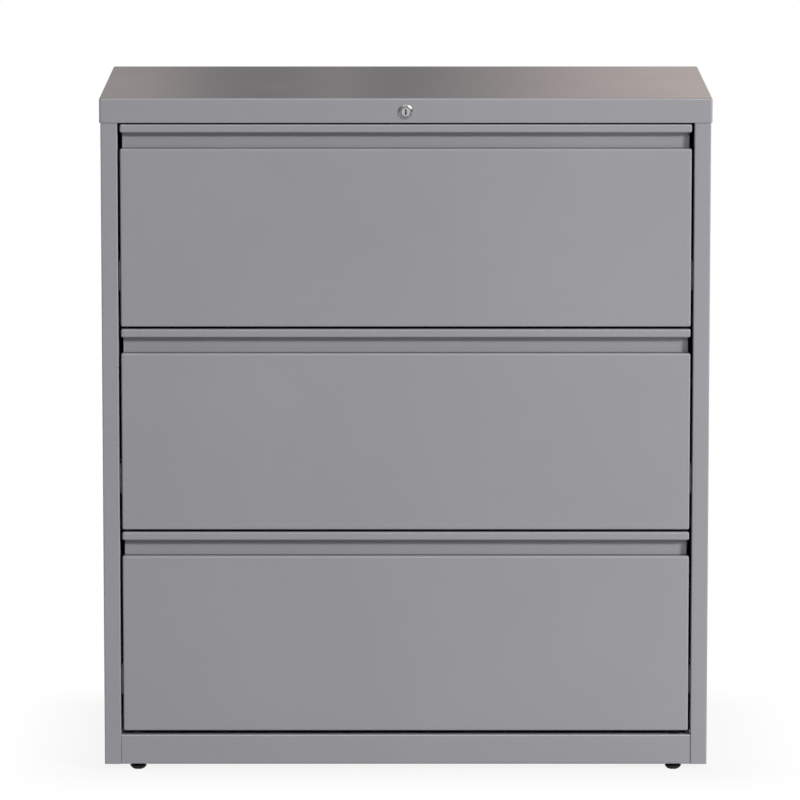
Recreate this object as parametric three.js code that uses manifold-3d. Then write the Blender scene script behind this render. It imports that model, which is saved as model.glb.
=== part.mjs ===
// Three-drawer lateral filing cabinet in millimetres, +Z up, front towards -Y.
// The origin lies on the floor, under the middle of the cabinet.

import * as THREE from "three";
import { mergeVertices } from "three/addons/utils/BufferGeometryUtils.js";
import Module from "manifold-3d";

const wasm = await Module();
wasm.setup();

// Overall size, over the top cap
const WIDTH = 914.4;
const DEPTH = 473;
const HEIGHT = 1022.35;

// Gap between two pieces that are fastened together or run on each other
const SEAT = 0.3;

// How far a cut runs past the face that it opens
const OVERCUT = 1;

// Sheet metal
const CASE_SHEET = 1;
const CAP_SHEET = 1.5;
const FRONT_SHEET = 1;
const PAN_SHEET = 1;
const BASE_SHEET = 1.5;
const SLIDE_SHEET = 1.2;
const BEND = 1;
const BEND_STEPS = 3;
const ARC_STEPS = 4;

// Case
const CAP_HEIGHT = 36.9;
const CAP_EDGE = 2.4;
const CAP_CORNER = 3.5;
const STILE_WIDTH = 25;
const STILE_RETURN = 15;
const REAR_FLANGE = 22;
const BACK_INSET = 1.5;

// Base
const FOOT_GAP = 9.4;
const BASE_RAIL_HEIGHT = 45.5;
const BASE_RAIL_FLANGE = 52;
const BASE_GAP = 6.3;
const BOTTOM_SETBACK = 32;
const BOTTOM_EDGE = 20;
const ACCESS_HOLE = 20;
const COUNTERWEIGHT = { width: 700, depth: 110, thickness: 18, setback: 20 };

// Levelling glides
const GLIDE_INSET_X = 50.1;
const GLIDE_INSET_Y = 16;
const GLIDE_FLATS = 22.3;
const GLIDE_FOOT = 3.6;
const STUD_DIAMETER = 9.5;
const STUD_LENGTH = 34;
const STUD_SIDES = 16;

// Uprights that carry the slides
const UPRIGHT_DEPTH = 24;
const UPRIGHT_WIDTH = 40;
const UPRIGHT_FRONT = 52;
const UPRIGHT_REAR = 372;
const SLOT = { width: 5, height: 16, pitch: 76, edge: 10 };

// Drawer fronts
const DRAWER_GAP = 3.8;
const DRAWER_SIDE_GAP = 3.8;
const DRAWER_TOP_GAP = 2.4;
const FRONT_CORNER = 2.5;
const FRONT_RETURN = 13;
const FRONT_LAP = 0.7;
const LIP_HEIGHT = 12.4;
const RECESS_HEIGHT = 24.4;
const RECESS_DEPTH = 14.4;

// Drawer pans and hang bars
const PAN_DEPTH = 412;
const PAN_LIFT = 12;
const PAN_DROP = 30;
const PAN_HEM = 10;
const HANG_BAR = { thickness: 3, height: 16, hook: 3, leg: 8 };
const HANG_BAR_SETBACK = 12;
const HANG_BAR_SPACING = 311;

// Telescopic slides
const SLIDE_LENGTH = 406;
const SLIDE_SETBACK = 20;
const SLIDE_HEIGHT = 45;
const SLIDE_THICKNESS = 12.4;
const SLIDE_FLANGE = 8.4;
const SLIDE_PLAY = 0.8;
const SLIDE_LIFT = 75;
const BALL = 3;
const CAGE_LENGTH = 240;

// Lock in the cap's front apron
const LOCK_DROP = 20.4;
const LOCK_PROUD = 2.6;
const BEZEL_RADIUS = 11;
const BEZEL_EDGE = 1;
const BARREL_RADIUS = 9.2;
const PLUG_RADIUS = 7;
const PLUG_SUNK = 0.5;
const KEYWAY = { width: 2.2, height: 8.5, depth: 7 };
const LOCK_NUT = { flats: 25, thickness: 4 };
const LOCK_SIDES = 28;

// Lock works: cam, link, bar, and a tab for each drawer
const LOCK_TRAVEL = 12;
const CAM = { thickness: 2.5, hub: 7, tip: 4.5 };
const PIN_RADIUS = 2;
const PIN_PLAY = 0.5;
const PIN_TAIL = 1;
const PIN_SIDES = 12;
const LINK_SHEET = 2;
const LINK_RIM = 2.5;
const LINK_TAIL = 8;
const BAR_SHEET = 2;
const BAR_WIDTH = 11;
const BAR_FOOT = 20;
const TAB_SHEET = 2;
const TAB_REACH = 9;
const TAB_CLEAR = 3;
const BAR_GUIDE = { wall: 3, grip: 4, length: 24 };
const CATCH = { sheet: 1.5, reach: 9, length: 12, height: 24, drop: 45, clear: 1.2 };

// Planes and places worked out from the sizes above
const CAP_OVERHANG = CAP_SHEET + SEAT;
const FRONT_Y = -(DEPTH - LOCK_PROUD) / 2;
const BACK_Y = FRONT_Y + DEPTH;
const CAP_BOTTOM = HEIGHT - CAP_HEIGHT;
const CASE_HALF = WIDTH / 2 - CAP_OVERHANG;
const CASE_FRONT = FRONT_Y + CAP_OVERHANG;
const CASE_BACK = BACK_Y - CAP_OVERHANG;
const CASE_TOP = HEIGHT - CAP_OVERHANG;
const CASE_INNER = CASE_HALF - CASE_SHEET - SEAT;
const SIDE_REAR = CASE_BACK - CASE_SHEET - SEAT;
const STILE_INNER = CASE_HALF - STILE_WIDTH;
const BASE_TOP = FOOT_GAP + BASE_RAIL_HEIGHT;
const BASE_REAR = SIDE_REAR - CASE_SHEET - SEAT;
const BOTTOM_TOP = BASE_TOP + SEAT + CASE_SHEET;
const DRAWERS = ["bottom", "middle", "top"];
const FIRST_DRAWER = BASE_TOP + BASE_GAP;
const FRONTS_HEIGHT = CAP_BOTTOM - DRAWER_TOP_GAP - FIRST_DRAWER;
const DRAWER_PITCH = (FRONTS_HEIGHT + DRAWER_GAP) / DRAWERS.length;
const DRAWER_HEIGHT = DRAWER_PITCH - DRAWER_GAP;
const DRAWER_HALF = STILE_INNER - DRAWER_SIDE_GAP;
const SLIDE_PLANE = CASE_INNER - UPRIGHT_DEPTH;
const RAIL_OUTER = SLIDE_PLANE - SEAT;
const RAIL_INNER = RAIL_OUTER - SLIDE_THICKNESS;
const PAN_HALF = RAIL_INNER - SEAT;
const PAN_FRONT = CASE_FRONT + RECESS_DEPTH + FRONT_SHEET + SEAT;
const PAN_TOP = DRAWER_HEIGHT - PAN_DROP;
const BAR_FRONT = CASE_FRONT + STILE_RETURN + SEAT;
const BAR_BACK = BAR_FRONT + BAR_SHEET;
const TAB_FRONT = BAR_BACK + SEAT;
const TAB_BACK = TAB_FRONT + TAB_SHEET;
const LINK_FRONT = BAR_BACK + SEAT;
const LINK_BACK = LINK_FRONT + LINK_SHEET;
const CAM_FRONT = LINK_FRONT - SEAT - CAM.thickness;
const BARREL_BACK = CAM_FRONT - SEAT;
const LOCK_Z = HEIGHT - LOCK_DROP;
const CAM_RADIUS = LOCK_TRAVEL / Math.SQRT2;
const PIN_HOLE = PIN_RADIUS + PIN_PLAY;
const LINK_MARGIN = PIN_HOLE + LINK_RIM;
const LINK_TOP = LOCK_Z + CAM_RADIUS + LINK_MARGIN;
const LINK_BOTTOM = LOCK_Z + LOCK_TRAVEL / 2 - LINK_MARGIN;
const BAR_PIN_X = STILE_INNER + BAR_WIDTH / 2;
const BAR_PIN_Z = LINK_TOP - LINK_MARGIN - LOCK_TRAVEL;
const CATCH_Z = PAN_TOP - CATCH.drop;
const TAB_LOW = CATCH_Z - TAB_CLEAR - LOCK_TRAVEL;

// Finishes
const finish = (color, roughness, metalness) =>
  new THREE.MeshStandardMaterial({ color, roughness, metalness });
const PAINT = finish(0x949398, 0.42, 0.15);
const ZINC = finish(0xb4b6b8, 0.35, 0.9);
const CHROME = finish(0xd9dadc, 0.12, 1);
const IRON = finish(0x4a4a4c, 0.6, 0.7);
const BLACK = finish(0x171718, 0.5, 0.1);
const NYLON = finish(0xd8d6ce, 0.55, 0);

// Helpers for points, outlines and solids
const point = (x, y) => new THREE.Vector2(x, y);
const AXIS_X = new THREE.Vector3(1, 0, 0);
const AXIS_Y = new THREE.Vector3(0, 1, 0);
const AXIS_Z = new THREE.Vector3(0, 0, 1);
const BASES = {
  x: new THREE.Matrix4().makeBasis(AXIS_Y, AXIS_Z, AXIS_X),
  y: new THREE.Matrix4().makeBasis(AXIS_X, AXIS_Z, AXIS_Y.clone().negate()),
  z: new THREE.Matrix4(),
};

/** Closed solid of a geometry whose faces point out. */
function solidOf(geometry) {
  const bare = geometry.clone();
  bare.deleteAttribute("normal");
  bare.deleteAttribute("uv");
  const merged = mergeVertices(bare);
  return new wasm.Manifold(new wasm.Mesh({
    numProp: 3,
    vertProperties: new Float32Array(merged.attributes.position.array),
    triVerts: new Uint32Array(merged.index.array),
  }));
}

/** Geometry of a solid, mirrored left to right where the piece is a left-hand one. */
function geometryOf(solid, leftHand = false) {
  const mesh = solid.getMesh();
  const geometry = new THREE.BufferGeometry();
  const positions = Float32Array.from(mesh.vertProperties);
  const triangles = Uint32Array.from(mesh.triVerts);
  geometry.setAttribute("position", new THREE.BufferAttribute(positions, 3));
  if (leftHand) {
    geometry.scale(-1, 1, 1);
    triangles.reverse();
  }
  geometry.setIndex(new THREE.BufferAttribute(triangles, 1));
  geometry.computeVertexNormals();
  return geometry;
}

/** Box between two corners. */
function box(x0, y0, z0, x1, y1, z1) {
  const geometry = new THREE.BoxGeometry(x1 - x0, y1 - y0, z1 - z0);
  return solidOf(geometry.translate((x0 + x1) / 2, (y0 + y1) / 2, (z0 + z1) / 2));
}

/** Outline extruded along an axis. Outlines hold (y, z), (x, z) or (x, y) for the axes x, y and z. */
function prism(shape, axis, from, to) {
  const options = { depth: to - from, bevelEnabled: false, curveSegments: ARC_STEPS };
  const geometry = new THREE.ExtrudeGeometry(shape, options);
  const start = axis === "y" ? -to : from;
  return solidOf(geometry.translate(0, 0, start).applyMatrix4(BASES[axis]));
}

/** Rod along y, round or with few sides. */
function rodAlongY(x, z, radius, y0, y1, sides) {
  const geometry = new THREE.CylinderGeometry(radius, radius, y1 - y0, sides);
  return solidOf(geometry.translate(x, (y0 + y1) / 2, z));
}

/** Rod along z, round or with few sides. */
function rodAlongZ(x, y, radius, z0, z1, sides) {
  const geometry = new THREE.CylinderGeometry(radius, radius, z1 - z0, sides);
  return solidOf(geometry.rotateX(Math.PI / 2).translate(x, y, (z0 + z1) / 2));
}

/** Outline of a bent sheet: the path is one of its faces, and the material lies on the path's left. */
function bentSheet(path, thickness) {
  const face = [];
  const back = [];
  const leftOf = (heading) => point(-heading.y, heading.x);
  const headings = path.slice(1).map((end, i) => end.clone().sub(path[i]).normalize());
  const addPoints = (place, away, faceStep, backStep) => {
    face.push(place.clone().addScaledVector(away, faceStep));
    back.push(place.clone().addScaledVector(away, backStep));
  };
  addPoints(path[0], leftOf(headings[0]), 0, thickness);
  for (let i = 1; i < path.length - 1; i += 1) {
    const [before, after] = [headings[i - 1], headings[i]];
    const turn = Math.atan2(before.cross(after), before.dot(after));
    const side = Math.sign(turn);
    const radius = side > 0 ? BEND + thickness : BEND;
    const start = path[i].clone().addScaledVector(before, -radius * Math.tan(Math.abs(turn) / 2));
    const centre = start.addScaledVector(leftOf(before), side * radius);
    for (let step = 0; step <= BEND_STEPS; step += 1) {
      const spoke = leftOf(before).multiplyScalar(-side);
      spoke.rotateAround(point(0, 0), (turn * step) / BEND_STEPS);
      addPoints(centre, spoke, radius, radius - side * thickness);
    }
  }
  addPoints(path.at(-1), leftOf(headings.at(-1)), 0, thickness);
  return new THREE.Shape([...face, ...back.reverse()]);
}

/** Rectangle with round corners. */
function roundedRect(x0, y0, x1, y1, radius) {
  const shape = new THREE.Shape();
  shape.absarc(x1 - radius, y0 + radius, radius, -Math.PI / 2, 0);
  shape.absarc(x1 - radius, y1 - radius, radius, 0, Math.PI / 2);
  shape.absarc(x0 + radius, y1 - radius, radius, Math.PI / 2, Math.PI);
  shape.absarc(x0 + radius, y0 + radius, radius, Math.PI, 1.5 * Math.PI);
  shape.closePath();
  return shape;
}

/** Slot with round ends between two points. */
function slotShape(from, to, radius) {
  const angle = to.clone().sub(from).angle();
  const shape = new THREE.Shape();
  shape.absarc(to.x, to.y, radius, angle - Math.PI / 2, angle + Math.PI / 2);
  shape.absarc(from.x, from.y, radius, angle + Math.PI / 2, angle + 1.5 * Math.PI);
  shape.closePath();
  return shape;
}

/** Channel section with its web at one x and its flange tips at another. */
function channelShape(web, tip, half, thickness) {
  const h = half * Math.sign(web - tip);
  const path = [point(tip, -h), point(web, -h), point(web, h), point(tip, h)];
  return bentSheet(path, thickness);
}

// The cabinet and its pieces
const cabinet = new THREE.Group();

function addPiece(group, name, solid, material, leftHand = false) {
  const mesh = new THREE.Mesh(geometryOf(solid, leftHand), material);
  mesh.name = name;
  group.add(mesh);
  return mesh;
}

/** Adds a right-hand piece and its mirror image. */
function addPair(group, name, solid, material) {
  addPiece(group, `${name}_left`, solid, material, true);
  addPiece(group, `${name}_right`, solid, material);
}

/** Side panel, bent in one piece with its stile, the stile's return and a rear flange. */
function sidePanel() {
  const path = [
    point(STILE_INNER, CASE_FRONT + STILE_RETURN),
    point(STILE_INNER, CASE_FRONT),
    point(CASE_HALF, CASE_FRONT),
    point(CASE_HALF, SIDE_REAR),
    point(CASE_HALF - REAR_FLANGE, SIDE_REAR),
  ];
  return prism(bentSheet(path, CASE_SHEET), "z", FOOT_GAP, CASE_TOP);
}

/** Top cap, a pan with four aprons, a rolled top edge and the hole for the lock. */
function topCap() {
  const half = WIDTH / 2;
  const outline = roundedRect(-half, FRONT_Y, half, BACK_Y, CAP_CORNER);
  const block = new THREE.ExtrudeGeometry(outline, {
    depth: CAP_HEIGHT,
    bevelThickness: CAP_EDGE,
    bevelSize: CAP_EDGE,
    bevelOffset: -CAP_EDGE,
    bevelSegments: BEND_STEPS,
    curveSegments: ARC_STEPS,
  });
  block.translate(0, 0, HEIGHT - CAP_EDGE - CAP_HEIGHT);
  const below = box(-WIDTH, -DEPTH, 0, WIDTH, DEPTH, CAP_BOTTOM);
  const inner = half - CAP_SHEET;
  const hollow = box(-inner, FRONT_Y + CAP_SHEET, 0, inner, BACK_Y - CAP_SHEET, HEIGHT - CAP_SHEET);
  const apron = [FRONT_Y - OVERCUT, FRONT_Y + CAP_SHEET + OVERCUT];
  const hole = rodAlongY(0, LOCK_Z, BARREL_RADIUS + SEAT, ...apron, LOCK_SIDES);
  return solidOf(block).subtract(below).subtract(hollow).subtract(hole);
}

/** Hole in a flange of a base rail, over or under a glide. */
const flangeHole = (x, y, z, radius) =>
  rodAlongZ(x, y, radius, z - 2 * BASE_SHEET, z + 2 * BASE_SHEET, STUD_SIDES);

/** Places of the glides, as [name, x, y]. */
const GLIDE_X = CASE_HALF - GLIDE_INSET_X;
const GLIDE_PLACES = [
  ["front_left", -GLIDE_X, CASE_FRONT + GLIDE_INSET_Y],
  ["front_right", GLIDE_X, CASE_FRONT + GLIDE_INSET_Y],
  ["rear_left", -GLIDE_X, BASE_REAR - GLIDE_INSET_Y],
  ["rear_right", GLIDE_X, BASE_REAR - GLIDE_INSET_Y],
];

/** Base rail: a channel on its back between the sides, drilled for its two glides. */
function baseRail(half, face, inward, row) {
  const tip = face + inward * BASE_RAIL_FLANGE;
  const [first, last] = inward > 0 ? [BASE_TOP, FOOT_GAP] : [FOOT_GAP, BASE_TOP];
  const path = [point(tip, first), point(face, first), point(face, last), point(tip, last)];
  let rail = prism(bentSheet(path, BASE_SHEET), "x", -half, half);
  for (const [name, x, y] of GLIDE_PLACES) {
    if (name.startsWith(row)) {
      rail = rail.subtract(flangeHole(x, y, FOOT_GAP, STUD_DIAMETER / 2 + SEAT));
      rail = rail.subtract(flangeHole(x, y, BASE_TOP, ACCESS_HOLE / 2));
    }
  }
  return rail;
}

/** Bottom panel on the base rails, its side edges turned down. */
function bottomPanel() {
  const path = [
    point(CASE_INNER, BOTTOM_TOP - BOTTOM_EDGE),
    point(CASE_INNER, BOTTOM_TOP),
    point(-CASE_INNER, BOTTOM_TOP),
    point(-CASE_INNER, BOTTOM_TOP - BOTTOM_EDGE),
  ];
  return prism(bentSheet(path, CASE_SHEET), "y", CASE_FRONT + BOTTOM_SETBACK, BASE_REAR - BEND);
}

/** Upright channel with a row of slots for the hooks of the slides. */
function upright(front) {
  const path = [
    point(CASE_INNER, front + UPRIGHT_WIDTH),
    point(SLIDE_PLANE, front + UPRIGHT_WIDTH),
    point(SLIDE_PLANE, front),
    point(CASE_INNER, front),
  ];
  const foot = BOTTOM_TOP + SEAT;
  let channel = prism(bentSheet(path, BASE_SHEET), "z", foot, CASE_TOP);
  const slotY = front + (UPRIGHT_WIDTH - SLOT.width) / 2;
  for (let z = foot + SLOT.edge; z + SLOT.height + SLOT.edge < CASE_TOP; z += SLOT.pitch) {
    const [near, far] = [SLIDE_PLANE - OVERCUT, SLIDE_PLANE + BASE_SHEET + OVERCUT];
    channel = channel.subtract(box(near, slotY, z, far, slotY + SLOT.width, z + SLOT.height));
  }
  return channel;
}

function addCase() {
  const shell = new THREE.Group();
  const side = sidePanel();
  addPiece(shell, "left_side_panel", side, PAINT, true);
  addPiece(shell, "right_side_panel", side, PAINT);
  addPiece(shell, "top_cap", topCap(), PAINT);
  const backHalf = CASE_HALF - BACK_INSET;
  const back = box(-backHalf, CASE_BACK - CASE_SHEET, FOOT_GAP, backHalf, CASE_BACK, CASE_TOP);
  addPiece(shell, "back_panel", back, PAINT);
  addPiece(shell, "base_rail", baseRail(STILE_INNER - SEAT, CASE_FRONT, 1, "front"), PAINT);
  const rearHalf = CASE_INNER - CASE_SHEET - BEND - SEAT;
  addPiece(shell, "rear_base_rail", baseRail(rearHalf, BASE_REAR, -1, "rear"), PAINT);
  addPiece(shell, "bottom_panel", bottomPanel(), PAINT);
  addPair(shell, "front_upright", upright(CASE_FRONT + UPRIGHT_FRONT), ZINC);
  addPair(shell, "rear_upright", upright(CASE_FRONT + UPRIGHT_REAR), ZINC);
  const { width, depth, thickness, setback } = COUNTERWEIGHT;
  const weightTop = BOTTOM_TOP - CASE_SHEET - SEAT;
  const weightRear = BASE_REAR - BASE_RAIL_FLANGE - setback;
  const weight = box(-width / 2, weightRear - depth, weightTop - thickness, width / 2, weightRear, weightTop);
  addPiece(shell, "counterweight", weight, IRON);
  cabinet.add(shell);
}

/** Levelling glide: a hexagonal foot, one flat to the front, on a stud. */
function addGlides() {
  const cornerRadius = GLIDE_FLATS / Math.sqrt(3);
  const foot = new THREE.CylinderGeometry(cornerRadius, cornerRadius, GLIDE_FOOT, 6);
  foot.rotateX(Math.PI / 2).rotateZ(Math.PI / 6).translate(0, 0, GLIDE_FOOT / 2);
  const stud = rodAlongZ(0, 0, STUD_DIAMETER / 2, GLIDE_FOOT / 2, GLIDE_FOOT + STUD_LENGTH, STUD_SIDES);
  const glide = solidOf(foot).add(stud);
  for (const [name, x, y] of GLIDE_PLACES) {
    addPiece(cabinet, `glide_${name}`, glide, BLACK).position.set(x, y, 0);
  }
}

/** Drawer front: one sheet rolled into lip, finger recess and face, with its ends turned back. */
function drawerFront() {
  const recess = CASE_FRONT + RECESS_DEPTH;
  const back = CASE_FRONT + FRONT_RETURN;
  const lipZ = DRAWER_HEIGHT - LIP_HEIGHT;
  const faceZ = lipZ - RECESS_HEIGHT;
  const path = [
    point(back, DRAWER_HEIGHT),
    point(CASE_FRONT, DRAWER_HEIGHT),
    point(CASE_FRONT, lipZ),
    point(recess, lipZ),
    point(recess, faceZ),
    point(CASE_FRONT, faceZ),
    point(CASE_FRONT, 0),
    point(back, 0),
  ];
  let front = prism(bentSheet(path, FRONT_SHEET), "x", -DRAWER_HALF, DRAWER_HALF);
  for (const [low, high] of [[0, faceZ], [lipZ, DRAWER_HEIGHT]]) {
    const end = DRAWER_HALF - FRONT_SHEET;
    for (const [x0, x1] of [[-DRAWER_HALF, -end], [end, DRAWER_HALF]]) {
      front = front.add(box(x0, CASE_FRONT + FRONT_LAP, low + FRONT_LAP, x1, back, high - FRONT_LAP));
    }
  }
  const [near, far] = [CASE_FRONT - OVERCUT, recess + FRONT_SHEET + OVERCUT];
  const outline = (low, high) => prism(
    roundedRect(-DRAWER_HALF, low, DRAWER_HALF, high, FRONT_CORNER), "y", near, far,
  );
  const [below, above] = [faceZ - FRONT_CORNER, lipZ + FRONT_CORNER];
  const behind = box(-DRAWER_HALF, CASE_FRONT, below, DRAWER_HALF, far, above);
  const corners = box(-WIDTH, near, faceZ, WIDTH, recess, lipZ);
  const mask = outline(0, faceZ).add(outline(lipZ, DRAWER_HEIGHT)).add(behind.subtract(corners));
  return front.intersect(mask);
}

/** Drawer pan, an open tray with hemmed top edges. */
function drawerPan() {
  const back = PAN_FRONT + PAN_DEPTH;
  const inset = (wall, low, high) => box(
    -PAN_HALF + wall, PAN_FRONT + wall, low, PAN_HALF - wall, back - wall, high,
  );
  const hemZ = PAN_TOP - PAN_HEM;
  return inset(0, PAN_LIFT, PAN_TOP)
    .subtract(inset(PAN_SHEET, PAN_LIFT + PAN_SHEET, hemZ))
    .subtract(inset(2 * PAN_SHEET, PAN_LIFT + 2 * PAN_SHEET, PAN_TOP + PAN_HEM));
}

/** Hang bar for folders, hooked over the hems of the pan's sides. */
function hangBar(front) {
  const top = PAN_TOP + SEAT + HANG_BAR.hook;
  const hookOuter = PAN_HALF + SEAT + HANG_BAR.hook;
  const seatTop = PAN_TOP + SEAT;
  const inner = PAN_HALF - 2 * PAN_SHEET - SEAT;
  const right = [
    point(inner, top - HANG_BAR.height),
    point(inner, seatTop),
    point(PAN_HALF + SEAT, seatTop),
    point(PAN_HALF + SEAT, PAN_TOP - HANG_BAR.leg),
    point(hookOuter, PAN_TOP - HANG_BAR.leg),
    point(hookOuter, top),
  ];
  const left = right.map(({ x, y }) => point(-x, y)).reverse();
  return prism(new THREE.Shape([...right, ...left]), "y", front, front + HANG_BAR.thickness);
}

/** Lock catch on the right side of the pan, an angle whose tongue the lock bar stops. */
function lockCatch() {
  const side = PAN_HALF + SEAT;
  const path = [
    point(side + CATCH.reach, CATCH_Z),
    point(side, CATCH_Z),
    point(side, CATCH_Z + CATCH.height),
  ];
  const front = TAB_BACK + CATCH.clear;
  const angle = bentSheet(path.reverse(), CATCH.sheet);
  return prism(angle, "y", front, front + CATCH.length);
}

/** Round bead of a ball cage on a flange, at the top and bottom of a rail. */
function withCages(rail, x, half, front) {
  const radius = BALL - SEAT;
  const root = SLIDE_SHEET / 2;
  const start = front + (SLIDE_LENGTH - CAGE_LENGTH) / 2;
  const bead = new THREE.Shape();
  bead.moveTo(x - radius, SLIDE_LIFT + half - root);
  bead.lineTo(x + radius, SLIDE_LIFT + half - root);
  bead.absarc(x, SLIDE_LIFT + half, radius, 0, Math.PI);
  const lower = new THREE.Shape();
  lower.moveTo(x + radius, SLIDE_LIFT - half + root);
  lower.lineTo(x - radius, SLIDE_LIFT - half + root);
  lower.absarc(x, SLIDE_LIFT - half, radius, Math.PI, 2 * Math.PI);
  return [bead, lower].reduce(
    (solid, shape) => solid.add(prism(shape, "y", start, start + CAGE_LENGTH)), rail,
  );
}

/** The three nested members of a slide: case rail, middle rail and drawer rail. */
function slideRails() {
  const front = CASE_FRONT + SLIDE_SETBACK;
  const rail = (web, tip, half) => {
    const shape = channelShape(web, tip, half, SLIDE_SHEET);
    const lifted = new THREE.Shape(shape.getPoints().map(({ x, y }) => point(x, y + SLIDE_LIFT)));
    return prism(lifted, "y", front, front + SLIDE_LENGTH);
  };
  const nest = SLIDE_SHEET + SLIDE_PLAY;
  const step = SLIDE_SHEET + BALL;
  const caseHalf = SLIDE_HEIGHT / 2;
  const middleHalf = caseHalf - step;
  const drawerHalf = middleHalf - step;
  const middleWeb = RAIL_OUTER - nest;
  const middleTip = RAIL_INNER + nest;
  const caseTip = RAIL_OUTER - SLIDE_FLANGE;
  const drawerTip = RAIL_INNER + SLIDE_FLANGE;
  const middleRail = rail(middleWeb, middleTip, middleHalf);
  const drawerRail = rail(RAIL_INNER, drawerTip, drawerHalf);
  return {
    case_rail: rail(RAIL_OUTER, caseTip, caseHalf),
    middle_rail: withCages(middleRail, (middleWeb + caseTip) / 2, middleHalf, front),
    drawer_rail: withCages(drawerRail, (drawerTip + middleTip) / 2, drawerHalf, front),
  };
}

function addDrawers() {
  const rails = slideRails();
  const front = drawerFront();
  const pan = drawerPan();
  const bars = {
    front: hangBar(PAN_FRONT + HANG_BAR_SETBACK),
    rear: hangBar(PAN_FRONT + HANG_BAR_SETBACK + HANG_BAR_SPACING),
  };
  const stop = lockCatch();
  DRAWERS.forEach((level, i) => {
    const drawer = new THREE.Group();
    drawer.position.z = FIRST_DRAWER + i * DRAWER_PITCH;
    addPiece(drawer, `${level}_drawer_front`, front, PAINT);
    addPiece(drawer, `${level}_drawer_pan`, pan, PAINT);
    addPiece(drawer, `${level}_front_hang_bar`, bars.front, ZINC);
    addPiece(drawer, `${level}_rear_hang_bar`, bars.rear, ZINC);
    addPiece(drawer, `${level}_lock_catch`, stop, ZINC);
    for (const [name, solid] of Object.entries(rails)) {
      addPair(drawer, `${level}_${name}`, solid, ZINC);
    }
    cabinet.add(drawer);
  });
}

/** Lock housing, turned in one piece: bezel in front of the apron, barrel through it. */
function lockHousing() {
  const bore = PLUG_RADIUS + SEAT;
  const bezelFront = FRONT_Y - LOCK_PROUD;
  const profile = [
    point(bore, bezelFront),
    point(BEZEL_RADIUS - BEZEL_EDGE, bezelFront),
    point(BEZEL_RADIUS, bezelFront + BEZEL_EDGE),
    point(BEZEL_RADIUS, FRONT_Y - SEAT),
    point(BARREL_RADIUS, FRONT_Y - SEAT),
    point(BARREL_RADIUS, BARREL_BACK),
    point(bore, BARREL_BACK),
    point(bore, bezelFront),
  ];
  return solidOf(new THREE.LatheGeometry(profile, LOCK_SIDES).translate(0, 0, LOCK_Z));
}

/** Hexagonal nut that holds the barrel against the back of the apron. */
function lockNut() {
  const front = FRONT_Y + CAP_SHEET + SEAT;
  const back = front + LOCK_NUT.thickness;
  const nut = rodAlongY(0, LOCK_Z, LOCK_NUT.flats / Math.sqrt(3), front, back, 6);
  const hole = rodAlongY(0, LOCK_Z, BARREL_RADIUS + SEAT, front - OVERCUT, back + OVERCUT, LOCK_SIDES);
  return nut.subtract(hole);
}

function lockPlug() {
  const front = FRONT_Y - LOCK_PROUD + PLUG_SUNK;
  const { width, height, depth } = KEYWAY;
  const [low, high] = [LOCK_Z - height / 2, LOCK_Z + height / 2];
  const slot = box(-width / 2, front - OVERCUT, low, width / 2, front + depth, high);
  return rodAlongY(0, LOCK_Z, PLUG_RADIUS, front, BARREL_BACK, LOCK_SIDES).subtract(slot);
}

/** Cam on the back of the plug; its pin stands up and to the left while the drawers are free. */
function lockCam() {
  const lean = Math.acos((CAM.hub - CAM.tip) / CAM_RADIUS);
  const rest = 0.75 * Math.PI;
  const pinX = CAM_RADIUS * Math.cos(rest);
  const pinZ = LOCK_Z + CAM_RADIUS * Math.sin(rest);
  const arm = new THREE.Shape();
  arm.absarc(pinX, pinZ, CAM.tip, rest - lean, rest + lean);
  arm.absarc(0, LOCK_Z, CAM.hub, rest + lean, rest - lean + 2 * Math.PI);
  arm.closePath();
  const [middle, back] = [CAM_FRONT + CAM.thickness / 2, CAM_FRONT + CAM.thickness];
  const pin = rodAlongY(pinX, pinZ, PIN_RADIUS, middle, LINK_BACK + PIN_TAIL, PIN_SIDES);
  return prism(arm, "y", CAM_FRONT, back).add(pin);
}

/** Link that the cam moves sideways; the sloping slot in its end plate lifts the lock bar. */
function lockLink() {
  const camPinX = -LOCK_TRAVEL / 2;
  const plateLeft = BAR_PIN_X - LOCK_TRAVEL - LINK_MARGIN;
  const plateRight = BAR_PIN_X + LINK_MARGIN;
  const outline = new THREE.Shape([
    point(camPinX - LINK_MARGIN - LINK_TAIL, LINK_BOTTOM),
    point(plateLeft - LINK_MARGIN, LINK_BOTTOM),
    point(plateLeft, BAR_PIN_Z - LINK_MARGIN),
    point(plateRight, BAR_PIN_Z - LINK_MARGIN),
    point(plateRight, LINK_TOP),
    point(camPinX - LINK_MARGIN - LINK_TAIL, LINK_TOP),
  ]);
  outline.holes.push(slotShape(
    point(camPinX, LOCK_Z + LOCK_TRAVEL / 2), point(camPinX, LOCK_Z + CAM_RADIUS), PIN_HOLE,
  ));
  outline.holes.push(slotShape(
    point(BAR_PIN_X, BAR_PIN_Z), point(BAR_PIN_X - LOCK_TRAVEL, BAR_PIN_Z + LOCK_TRAVEL), PIN_HOLE,
  ));
  return prism(outline, "y", LINK_FRONT, LINK_BACK);
}

/** Lock bar behind the right stile, lifted by its pin in the link. */
function lockBar() {
  const right = STILE_INNER + BAR_WIDTH;
  const foot = FIRST_DRAWER + TAB_LOW - BAR_FOOT;
  const strip = box(STILE_INNER, BAR_FRONT, foot, right, BAR_BACK, BAR_PIN_Z + LINK_MARGIN);
  const pinEnds = [BAR_FRONT + BAR_SHEET / 2, LINK_BACK + PIN_TAIL];
  return strip.add(rodAlongY(BAR_PIN_X, BAR_PIN_Z, PIN_RADIUS, ...pinEnds, PIN_SIDES));
}

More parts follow.
